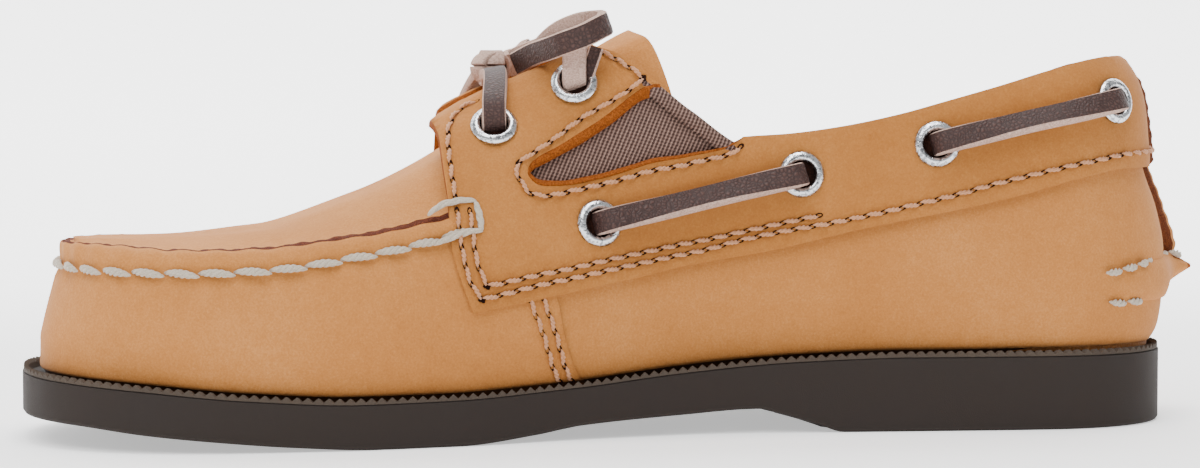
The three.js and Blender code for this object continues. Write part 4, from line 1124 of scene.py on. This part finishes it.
def vamp():
    lap = smooth_run(located(LAP_EDGE, 1, LAP_STEP), 0.8)
    lap_seam = seam_up(lap[:, 0], SEAM_ROW)
    lap_share = np.maximum.accumulate(np.clip(lap[:, 1] / lap_seam, -0.2, 1.3)) + np.arange(len(lap)) * 1e-6
    along = np.concatenate([np.linspace(0, 0.55, 70), np.linspace(0.55, 1, 110)[1:]])
    wall_shares = np.linspace(-0.05, 1, 26)
    seam_start, apron_start = [way_of(at_of(share * LENGTH)) for share in (0.503, 0.500)]
    half_ways = {}
    for share in wall_shares:
        start = np.interp(share, lap_share, lap[:, 0])
        half_ways[share] = start + (WAY_END - start) * along
    upper_way, apron_way = [start + (WAY_END - start) * along for start in (seam_start, apron_start)]

    def around(rows, sign):
        """Points of the rows, each with its height up the wall."""
        made = []
        for way, up, grow, relief in rows:
            spot = place(way, up, sign, grow, 0) + facing_out(way, up, sign) * relief[:, None]
            made.append(np.concatenate([spot, up[:, None]], -1))
        return np.stack(made)

    def rows_for(sign, lining):
        rows = []
        for share in wall_shares:
            way = half_ways[share]
            seam = seam_up(way, SEAM_ROW)
            up = np.where(share < 0, -0.6, share * seam)
            fade = np.clip(share * 4, 0, 1)
            groove = -0.55 * np.exp(-((share - 1) * seam / 1.2) ** 2) - 1.3 * np.exp(-(up / 1.6) ** 2)
            relief = groove + fade * soft_folds(way, up, sign) + pucker(way, up - 2.5, seam, 0.35)
            rows.append((way, up, 0.8, relief))
        seam = seam_up(upper_way, SEAM_ROW)
        lip = seam_up(upper_way, LIP_ROW)
        swell = pucker(upper_way, seam, seam, 0.3)
        for share, grow in ((0.15, 0.95), (0.35, 1.5), (0.6, 1.8), (0.8, 1.8), (0.92, 1.6), (1.0, 1.3)):
            rows.append((upper_way, seam + share * (lip - seam), grow, swell))
        if not lining:
            worn = 0.12 * np.sin(upper_way * 2.1) + 0.1 * np.sin(upper_way * 0.83 + 1)
            rows.append((upper_way, lip + 0.5, 0.9, worn))
            rows.append((upper_way, lip + 1.0, 0.2, worn))
        top = lip + 1.7
        for share in np.linspace(0, 1, 14):
            up = top + (RISE - top) * share
            relief = 0.5 * soft_folds(apron_way, up, sign)
            rows.append((apron_way, up, -0.35 + 0.35 * min(1, share * 3), relief))
        if lining:
            return [(way, up, INNER_GROW, 0 * up) for way, up, *_ in rows]
        return rows

    points, faces, kinds = [], [], []
    walls = len(wall_shares)
    for lining in (False, True):
        halves = [around(rows_for(sign, lining), sign) for sign in (1, -1)]
        grid = np.concatenate([halves[0], halves[1][:, -2::-1]], axis=1)
        rows, cols = grid.shape[:2]
        base = len(points[0]) if lining else 0
        made = net(rows, cols, start=base)
        part = np.repeat(np.arange(rows - 1), cols - 1)
        if lining:
            kind = np.ones(len(made), int)
        else:
            kind = np.where((part >= walls + 4) & (part < walls + 7), 2, 0)
            made = [face[::-1] for face in made]
        points.append(grid.reshape(-1, 4))
        faces += made
        kinds += kind.tolist()
        if lining:
            for r in range(walls - 1):
                for low in (r * cols, r * cols + cols - 1):
                    faces.append([low, low + cols, base + low + cols, base + low])
                    kinds.append(2)
    points = np.vstack(points)
    # The vamp gets painted shade along its foot, by the sole.
    finish_piece("vamp", points[:, :3], faces, ["nubuck", "lining", "dark_raw"], (), kinds,
                 foot=painted_foot_shade(points[:, 3]))


vamp()


# Sole

def sole_points(at, inset, height, sign):
    x = -HEEL_BACK + inset + at * (LENGTH - 2 * inset)
    half = (BALL_WIDTH * follow(SOLE_ROWS, "half", at) - inset) * roundness(at)
    return np.stack([x, BALL_WIDTH * follow(SOLE_ROWS, "centre", at) + sign * half, height(x)], -1)


def outsole():
    fine = (1 - np.cos(np.linspace(0, np.pi, 3000))) / 2
    ring = sole_points(fine, 0, sole_top, 1)[:, :2]
    way = np.concatenate([[0], np.cumsum(np.hypot(*np.diff(ring, axis=0).T))])
    teeth = int(round(way[-1] / TOOTH_PITCH))
    at = np.interp(np.linspace(0, way[-1], 2 * teeth + 1), way, fine)
    zigzag = TOOTH_DEPTH * (np.arange(len(at)) % 2)
    rim = RIM_HEIGHT - zigzag

    def wall(share, rise=0.0):
        """Height at a share of the way from the underside to the top, and a rise over it."""
        return lambda x: (1 - share) * sole_under(x) + share * sole_top(x) + rise

    # Inset, height and finish of each line round the sole
    profile = [
        (3.2, wall(0, 0.4), 0), (UNDER_INSET, wall(0), 0), (0.35, wall(0, 0.12), 0), (0.0, wall(0, 0.6), 0),
        (0.0, wall(0.25), 0), (0.0, wall(0.5), 0), (0.0, wall(0.75), 0),
        (0.0, wall(1, -PARTING_LINE - 0.05), 0), (0.35, wall(1, 0.05 - PARTING_LINE), 0),
        (0.2, wall(1, 0.2 - PARTING_LINE), 1), (0.2, wall(1, rim), 1), (0.4, wall(1, rim + 0.06), 1),
        (1.15, wall(1, rim - 0.1), 1), (1.25, wall(1, -LEDGE_DROP), 2),
        (9.0, wall(1, -LEDGE_DROP), 2),
    ]
    rows = []
    for inset, height, _ in profile:
        medial = sole_points(at, inset, height, 1)
        lateral = sole_points(at, inset, height, -1)
        rows.append(np.concatenate([medial, lateral[-2:0:-1]]))
    grid = np.stack(rows)
    count = grid.shape[1]
    faces = net(len(rows), count, closed=True)
    kinds = [profile[k // count][2] for k in range(len(faces))]
    points = [grid.reshape(-1, 3)]

    # Tread: wavy cuts across the underside
    starts = np.arange(-HEEL_BACK + 5, LENGTH - HEEL_BACK - 4, TREAD_PITCH)
    cut = np.array([(-0.45, 0), (-0.3, 1), (0.3, 1), (0.45, 0)])
    cuts_x = (starts[:, None] + cut[:, 0]).ravel()
    xs = np.concatenate([[-HEEL_BACK + 0.95], cuts_x, [LENGTH - HEEL_BACK - 0.95]])
    deep = np.concatenate([[0], np.tile(cut[:, 1], len(starts)), [0]])
    share = np.concatenate([[-1, -0.93], np.linspace(-0.9, 0.9, 44), [0.93, 1]])
    inner_at = np.clip((xs + HEEL_BACK - UNDER_INSET) / (LENGTH - 2 * UNDER_INSET), 0, 1)
    half = (BALL_WIDTH * follow(SOLE_ROWS, "half", inner_at) - UNDER_INSET) * roundness(inner_at)
    y = BALL_WIDTH * follow(SOLE_ROWS, "centre", inner_at)[:, None] + share * half[:, None]
    wave = 1.1 * np.sin(2 * np.pi * y / 8.5) * (np.abs(share) < 0.95) * np.clip((half[:, None] - 6) / 8, 0, 1)
    x = xs[:, None] + wave
    heel_gap = (xs > 33) & (xs < 49)
    depth = (TREAD_DEPTH * deep * ~heel_gap)[:, None] * (np.abs(share) < 0.92)
    z = sole_under(xs)[:, None] + depth + 0 * share
    points.append(np.stack([x, y, z], -1).reshape(-1, 3))
    tread = net(len(xs), len(share), start=len(points[0]))
    faces += tread
    kinds += [2] * len(tread)
    finish_piece("outsole_dressed", np.vstack(points), faces, ["rubber", "rim_rubber", "rubber"],
                 ["outsole"], kinds, at_angle=32)


outsole()


def insole():
    at = (1 - np.cos(np.linspace(0, np.pi, 90))) / 2
    share = np.linspace(-1, 1, 31)
    left, right = [skin(at, 0.09, sign, -2.3) for sign in (1, -1)]
    middle, half = (left + right) / 2, (left - right) / 2
    layers = []
    for rise, pull in ((3.3, 1.0), (2.6, 1.003), (0.3, 1.0)):
        grid = middle[:, None] + half[:, None] * share[None, :, None] * pull
        cup = 0.9 * np.abs(share) ** 5 if rise > 3 else 0 * share
        grid[..., 2] = sole_top(grid[..., 0]) + rise + cup
        layers.append(grid.reshape(-1, 3))
    rows, cols = len(at), len(share)
    count = rows * cols
    faces = [face[::-1] for face in net(rows, cols)] + net(rows, cols, start=2 * count)
    for low in (0, count):
        faces += [[a + low, b + low, b + low + count, a + low + count] for a, b in border(rows, cols)]
    finish_piece("footbed", np.vstack(layers), faces, ["lining"], ["insole"], at_angle=50)


insole()


def tongue():
    side = np.linspace(-1, 1, 35)
    y = TONGUE_HALF * side
    rear = LENGTH * (0.345 - 0.033 * np.abs(side) ** 2.2)
    front = 0.543 * LENGTH
    t = np.linspace(0, 1, 46)[:, None]
    x = front + (rear - front) * t
    across = np.broadcast_to(y, x.shape)
    up = np.full(x.shape, RISE)
    for sign in (1, -1):
        up = np.where(sign * across > 0, np.minimum(up, up_to_side(x, np.abs(across), sign, -2.1, 0)), up)
    sign = np.where(across < 0, -1, 1)
    end = np.clip((t - 0.88) / 0.12, 0, 1)
    layers = []
    for grow in (-2.15, -2.5, -4.2):
        round_off = 0.5 * end ** 3 if grow > -3 else 0 * end
        grid = place(way_of(at_of(x)), up, sign, grow, 0)
        grid[..., 2] += 0.35 * np.sin(5 * t + 2 * side) * np.sin(9 * t) - round_off
        layers.append(grid)
    rows, cols = x.shape[0], len(side)
    count = rows * cols
    faces = net(rows, cols) + [face[::-1] for face in net(rows, cols, start=2 * count)]
    kinds = [0] * ((rows - 1) * (cols - 1)) + [1] * ((rows - 1) * (cols - 1))
    for low in (0, count):
        rim = [[a + low, a + low + count, b + low + count, b + low] for a, b in border(rows, cols)]
        faces += rim
        kinds += [2] * len(rim)
    finish_piece("tongue_dressed", np.vstack([layer.reshape(-1, 3) for layer in layers]), faces,
                 ["nubuck", "lining", "raw"], ["tongue"], kinds, at_angle=60)


tongue()


def kicker():
    """Raised band round the back of the heel, pinched into a tail."""
    top, low = [locate(*side_row(text).T, 1) for text in (KICKER_TOP, KICKER_LOW)]
    top_line, low_line = [run[np.argsort(run[:, 0])].T for run in (top, low)]
    start = max(top[0, 0], low[0, 0])
    ways = np.linspace(start, 10.0, 21)
    share = np.linspace(0, 1, 17)
    tail_x = np.array([-31.2, -33.8, -36.2, -38.2, -39.3])
    tail_low = np.interp(-tail_x, [27.5, 31.5, 35.0, 38.0], [23.2, 24.4, 26.6, 28.6])
    tail_top = np.interp(-tail_x, [27.5, 31.5, 35.4, 38.0], [32.4, 32.5, 32.0, 29.8])
    tail_half = np.array([6.6, 5.4, 3.9, 2.2, 1.0])
    parts = []
    for sign in (1, -1):
        rows = []
        for way in ways:
            high, deep = np.interp(way, *top_line), np.interp(way, *low_line)
            middle = 0.5 * (high + deep)
            half = 0.5 * (high - deep) * min(1, ((start - way) / 4 + 0.15)) ** 0.5
            up = middle + half * (1 - 2 * share) * 1.12
            ramp = np.clip((start - way) / 8, 0, 1)
            ramp = ramp * ramp * (3 - 2 * ramp)
            grow = -0.25 + (1.35 * ramp + 0.25) * np.sin(np.pi * share) ** 0.5
            skin_row, out = on_skin(np.stack([np.full(len(share), way), up], -1), sign)
            rows.append(skin_row + out * grow[:, None])
        for x, deep, high, half in zip(tail_x, tail_low, tail_top, tail_half):
            z = high + (deep - high) * share
            y = sign * half * np.sin(np.pi * share) ** 0.5
            rows.append(np.stack([np.full(len(share), x), y, z], -1))
        grid = np.stack(rows)
        lines = [smooth_run(grid[::2, k], 1.0) for k in range(len(share))]
        picks = [np.round(np.linspace(0, len(line) - 1, 40)).astype(int) for line in lines]
        grid = np.stack([line[pick] for line, pick in zip(lines, picks)], 1)
        made = net(*grid.shape[:2])
        if sign < 0:
            made = [face[::-1] for face in made]
        part = np.repeat(np.arange(grid.shape[0] - 1), grid.shape[1] - 1)
        across = np.tile(np.arange(grid.shape[1] - 1), grid.shape[0] - 1)
        kinds = np.where((part > 37) | ((part > 33) & (across < 3)), 1, 0).tolist()
        parts.append((grid.reshape(-1, 3), made, kinds))
    points, faces, kinds = joined(parts)
    finish_piece("heel_kicker_dressed", points, faces, ["nubuck", "raw"], ["heel_kicker"], kinds)
    for side, sign in SIDES.items():
        # A thin dark cord along the crease at the tail: painted shade in the fold.
        fold = [(-31.4, 5.5, 26.0), (-32.6, 4.6, 26.8), (-34.4, 3.3, 27.5), (-37.0, 1.6, 28.5)]
        fold = smooth_run(fold, 0.3)
        fold[:, 1] *= sign
        out = np.tile((0.0, float(sign), 0.0), (len(fold), 1))
        girth = np.interp(np.arange(len(fold)), [0, 4, len(fold) - 1], [0.9, 0.8, 0.2])
        points, faces = cords(fold[None], out[None], 0.55, flat=0.5, sides=8, taper=0.3)
        squeeze = np.repeat(girth, 8)[:, None]
        spine = np.repeat(fold, 8, axis=0)
        finish_piece("tail_fold_" + side, spine + (points - spine) * squeeze, faces, ["hole"])


kicker()


def heel_seam():
    """Edges of leather that stand up along the back, under the collar strap and at its end."""
    lower = [(4.2, -0.6, 0), (3.0, 0.3, 1), (2.5, 0.9, 1), (2.0, 1.5, 1), (1.4, 2.1, 1), (0.9, 2.25, 0),
             (0.5, 2.6, 0), (0.0, 2.8, 0), (-0.6, 2.65, 0), (-1.3, 1.9, 0), (-2.0, 0.8, 0), (-2.8, -0.5, 0)]
    upper = [(3.4, 1.4, 1), (2.8, 2.4, 1), (2.2, 3.0, 1), (1.5, 3.4, 1), (0.6, 3.6, 1), (-0.6, 3.4, 1),
             (-1.4, 2.7, 0), (-2.6, 1.4, 0)]
    for name, section, heights, swell in (
            ("back_seam", lower, (31.0, 34.0, 41.0, 46.0, 49.5), (1.55, 1.6, 1.2, 1.15, 1.1)),
            ("back_edge", upper, (49.3, 50.2, 54.0, 60.0, 66.0, 69.4), (0.82, 1.12, 1.16, 1.04, 1.1, 0.72))):
        z = np.linspace(heights[0], heights[-1], 40)
        grown = np.interp(z, heights, swell) * (1 + 0.03 * np.sin(z * 2.3))
        up = locate(np.full(len(z), -24.0), z, 1)[:, 1]
        back = place(np.zeros(len(z)), up, 1, 0, 0)
        rows = [np.stack([back[:, 0] - out * grown, np.full(len(z), y), z], -1) for y, out, _ in section]
        grid = np.stack(rows, 1)
        kinds = [finish for _, _, finish in section[:-1]] * (len(z) - 1)
        faces = net(*grid.shape[:2])
        finish_piece(name, grid.reshape(-1, 3), faces, ["nubuck", "seam_raw"], (), kinds)


heel_seam()


# Eyelets and laces

def eyelet_frames(sign):
    return on_skin(eyelet_spots(sign), sign, *ON_SADDLE)


def eyelets(side, sign):
    centre, normal = eyelet_frames(sign)
    r, hole, stand = EYELET_RADIUS, EYELET_HOLE, FLANGE_STAND - 0.35
    profile = [(0.3, -0.4), (hole + 0.02, -0.4), (hole + 0.1, -3.7), (hole, -1.5), (hole, 0.2),
               (hole + 0.08, stand + 0.75), (hole + 0.35, stand + 1.0), (hole + 0.7, stand + 1.08),
               (hole + 1.1, stand + 0.98), (hole + 1.45, stand + 0.7), (r - 0.08, stand + 0.4),
               (r, stand + 0.15), (r - 0.05, stand - 0.1)]
    sides = 64
    angle = 2 * np.pi * np.arange(sides) / sides
    notch = 0.05 * (np.arange(sides) % 2)
    # The first band, a disc across the bottom of the hole, takes the dark finish: painted shade inside the
    # eyelet.
    kinds = [1] * sides + [0] * (sides * (len(profile) - 2))
    parts = []
    for c, n in zip(centre, normal):
        first = unit(np.cross(n, (0, 0, 1)))
        second = np.cross(n, first)
        spokes = np.cos(angle)[:, None] * first + np.sin(angle)[:, None] * second
        rows = [c + spokes * radius + n * (out - (notch[:, None] if 0.7 < radius - hole < 1.5 else 0))
                for radius, out in profile]
        parts.append((np.stack(rows).reshape(-1, 3), net(len(profile), sides, closed=True), kinds))
    points, faces, kinds = joined(parts)
    names = ["eyelet_" + side + "_" + row[0] for row in EYELET_ROWS]
    finish_piece("eyelets_" + side, points, faces, ["metal", "hole"], names, kinds)


OVER_FLANGE = FLANGE_STAND + FLANGE_THICK + GAP + LACE_THICK / 2


def lace_bar(name, a, b, between, roll, node, turned_over=False):
    """Lace from one eyelet to another. a and b are place and outward direction."""
    def leave(frame, aim):
        run = aim - frame[0]
        run = unit(run - frame[1] * run.dot(frame[1]))
        steps = [(0, -2.2), (0, 0.3), (0.7, OVER_FLANGE - 0.3), (2.9, OVER_FLANGE + 0.3)]
        return [frame[0] + run * along + frame[1] * out for along, out in steps]

    points = np.array([*leave(a, between[0]), *between, *leave(b, between[-1])[::-1]])
    path = smooth_run(points, 0.7)
    u = np.linspace(0, 1, len(path))
    run = unit(b[0] - a[0])
    faces = []
    for share in u:
        mixed = a[1] * (1 - share) + b[1] * share
        dip = 1 - share / 0.12 if share < 0.5 else 1 - (1 - share) / 0.12
        face = mixed + run * (-1 if share < 0.5 else 1) * 2.5 * max(0, dip)
        turn = Matrix.Rotation(math.radians(roll * math.sin(math.pi * share) ** 1.3), 3, Vector(run))
        faces.append(np.array(turn @ Vector(unit(face))))
    grid, made, kinds = strip_mesh(path, np.array(faces), LACE_WIDTH, LACE_THICK)
    finishes = TURNED_LACE if turned_over else LACE_FINISHES
    finish_piece(name, grid, made, finishes, [node], kinds, at_angle=50)


def side_laces(side, sign):
    centre, normal = eyelet_frames(sign)
    roll = math.radians(LACE_ROLL)
    stand = (LACE_WIDTH * math.sin(roll) + LACE_THICK * math.cos(roll)) / 2 + 2 * GAP
    for part, first, last in (("front", 2, 3), ("back", 4, 5)):
        a, b = (centre[first], normal[first]), (centre[last], normal[last])
        share = np.array([0.3, 0.5, 0.7])
        x = a[0][0] + (b[0][0] - a[0][0]) * share
        z = a[0][2] + (b[0][2] - a[0][2]) * share
        between, out = on_skin(locate(x, z, sign, *ON_SADDLE), sign, *ON_SADDLE)
        name = "lace_" + side + "_" + part
        lace_bar(name, a, b, list(between + stand * out), -sign * LACE_ROLL, "side_" + name)


def throat_laces():
    frames = [eyelet_frames(sign) for sign in (1, -1)]
    for k, part in ((0, "front"), (1, "rear")):
        a, b = [(centre[k], normal[k]) for centre, normal in frames]
        x = a[0][0]
        edges = []
        for sign in (1, -1):
            side = throat_half(np.array([x])) + 0.6
            up = up_to_side(np.array([x]), side, sign, *ON_SADDLE)
            edges.append(place(way_of(at_of(np.array([x]))), up, sign, *ON_SADDLE)[0] + [0, 0, 1.9])
        between = [edges[0], 0.5 * (edges[0] + edges[1]), edges[1]]
        lace_bar("lace_throat_" + part, a, b, between, 0.0, "throat_lace_" + part, part == "rear")


for side_name, side_sign in SIDES.items():
    eyelets(side_name, side_sign)
    side_laces(side_name, side_sign)
throat_laces()


# Stitches

def to_the_back(rows, text):
    """The strap's row of stitches goes on to the strap's end."""
    if text != STITCH_ROWS["lower"]:
        return rows
    return np.vstack([rows, [[7.0, rows[-1, 1] + 0.5], [2.2, rows[-1, 1] + 0.8]]])


def stitch_run(text, sign, grow, lift):
    line = smooth_run(to_the_back(located(text, sign, grow, lift), text), 0.4)
    if lift:
        line = drawn_back(line, sign)
    return on_skin(line, sign, grow, lift)


for side_name, side_sign in SIDES.items():
    for sewn, rows, height in (("saddle", STITCH_ROWS, ON_SADDLE), ("lap", LAP_ROWS, (1.0, 0.0))):
        runs = [stitch_run(text, side_sign, *height) for text in rows.values()]
        sew(sewn + "_stitches_" + side_name, runs, LOCK_PITCH, LOCK_RADIUS, "lock_thread", 2, 0.14)


def apron_stitches():
    ways = np.linspace(way_of(at_of(0.502 * LENGTH)), WAY_END, 700)
    rows = np.stack([ways, seam_up(ways, SEAM_ROW) + 0.3], -1)
    halves = zip(*[on_skin(rows, sign, 1.15) for sign in (1, -1)])
    run = tuple(np.concatenate([medial, lateral[-2::-1]]) for medial, lateral in halves)
    sew("apron_stitches", [run], HAND_PITCH, HAND_RADIUS, "hand_thread", 3, 0.16, sink=0.5, holes=False,
        over=0.12, taper=0.5, steps=17)


apron_stitches()


LOOP_THREADS = """0.5330 0.5850  0.5220 0.6080  0.5100 0.6180  0.4986 0.6220  0.4915 0.6190
0.4930 0.6210  0.4912 0.6000  0.4895 0.5700  0.4888 0.5420
0.4875 0.5440  0.4941 0.5451  0.5100 0.5330  0.5275 0.5130"""


def loop_threads():
    """Hand thread that goes over the front of the facing and down through it."""
    for side, sign in SIDES.items():
        parts = []
        for text in LOOP_THREADS.splitlines():
            line = smooth_run(located(text, sign, 2.2, 1.0), 0.35)
            centre, out = on_skin(line, sign, 2.25, 1.0)
            t = np.linspace(0, 1, len(centre))[:, None]
            centre = centre + out * (0.35 * np.sin(np.pi * t) ** 0.5 - 0.25)
            points, faces = cords(centre[None], out[None], LOOP_RADIUS, 0.75, 8, 3, turns=1.2, taper=0.3)
            parts.append((points, faces, ()))
        points, faces, _ = joined(parts)
        finish_piece("loop_thread_" + side, points, faces, ["hand_thread"])


loop_threads()


def tucked_lace():
    """End of the lace going down into the rear throat ring behind the crossing."""
    for side, sign in SIDES.items():
        centre, normal = eyelet_frames(sign)
        c, n = centre[1], normal[1]
        path = smooth_run(np.array([c - 1.6 * n + [-1.6, 0, 0], c + 0.2 * n + [-2.2, 0, 0.6],
                                    c + 0.9 * n + [-3.2, 0, 3.2], c + 0.3 * n + [-4.2, 0, 6.4]]), 0.5)
        grid, made, kinds = strip_mesh(path, np.tile(n, (len(path), 1)), TUCK_WIDTH, TUCK_THICK)
        finish_piece("lace_tuck_" + side, grid, made, LACE_FINISHES, (), kinds, at_angle=50)


tucked_lace()


def kicker_stitches():
    top = "-0.0542 0.4127  -0.0771 0.4264  -0.098 0.4396"
    low = "-0.058 0.3345  -0.0758 0.3349  -0.0955 0.3371"
    runs = []
    for sign in (1, -1):
        points, out = stitch_run(top, sign, 0.7, 0.0)
        tail = np.array([(-31.4, 4.9, 31.7), (-33.6, 3.4, 31.9), (-36.4, 1.9, 31.3)]) * [1, sign, 1]
        line = smooth_run(np.vstack([points[::6], tail]), 0.4)
        outward = read_off(line[:, 0], points[::-1, 0], out[::-1])
        runs += [(line, outward), stitch_run(low, sign, 0.6, 0.0)]
    sew("kicker_stitches", runs, KICKER_PITCH, KICKER_RADIUS, "hand_thread", 2, 0.12, over=0.05, taper=0.45,
        holes=False)


kicker_stitches()


# Studio: pale floor, soft light from above and from the camera's left

def stage_set():
    floor_mesh = bpy.data.meshes.new("floor")
    t = np.linspace(0, 1, 33)
    bend = np.stack([np.where(t < 0.5, 1.2 - 3.2 * t, -0.4 - 0.7 * np.sin((t - 0.5) * np.pi)),
                     np.where(t < 0.5, 0, 0.7 * (1 - np.cos((t - 0.5) * np.pi)))], -1)
    bend = np.vstack([bend, [[bend[-1, 0], 3.0]]])
    points = [(x, y, z) for y, z in bend for x in (-3.5, 3.5)]
    floor_mesh.from_pydata(points, [], net(len(bend), 2))
    f = Finish("studio_paper")
    paper = f.noise(40, 2)
    far = f.ramp(f.axis("Y") * -1.0 - 0.15, (0.0, (0.25, 0.25, 0.25, 1)), (0.5, (1, 1, 1, 1)))
    floor_mesh.materials.append(f.surface(f.mix(paper, (0.9, 0.9, 0.9, 1), (0.92, 0.92, 0.92, 1)), 0.9,
                                          Emission_Color=far, Emission_Strength=2.4))
    floor_mesh.polygons.foreach_set("use_smooth", np.full(len(floor_mesh.polygons), True))
    floor = bpy.data.objects.new("floor", floor_mesh)
    bpy.context.scene.collection.objects.link(floor)
    world = bpy.data.worlds.new("studio")
    world.use_nodes = True
    world.node_tree.nodes["Background"].inputs["Color"].default_value = (1, 1, 1, 1)
    world.node_tree.nodes["Background"].inputs["Strength"].default_value = 0.55
    bpy.context.scene.world = world
    lamps = (("key", (0.5, 0.6, 0.8), 0.6, 6.5), ("top", (0.1, 0.12, 1.1), 0.6, 10.5),
             ("back", (-0.2, -0.7, 0.8), 0.9, 3.0))
    for name, spot, size, power in lamps:
        lamp = bpy.data.lights.new(name, "AREA")
        lamp.shape = "SQUARE"
        lamp.size = size
        lamp.energy = power
        piece = bpy.data.objects.new(name, lamp)
        aim = Vector((0.08, 0, 0.03)) - Vector(spot)
        piece.matrix_world = Matrix.Translation(spot) @ aim.to_track_quat("-Z", "Y").to_matrix().to_4x4()
        bpy.context.scene.collection.objects.link(piece)


stage_set()
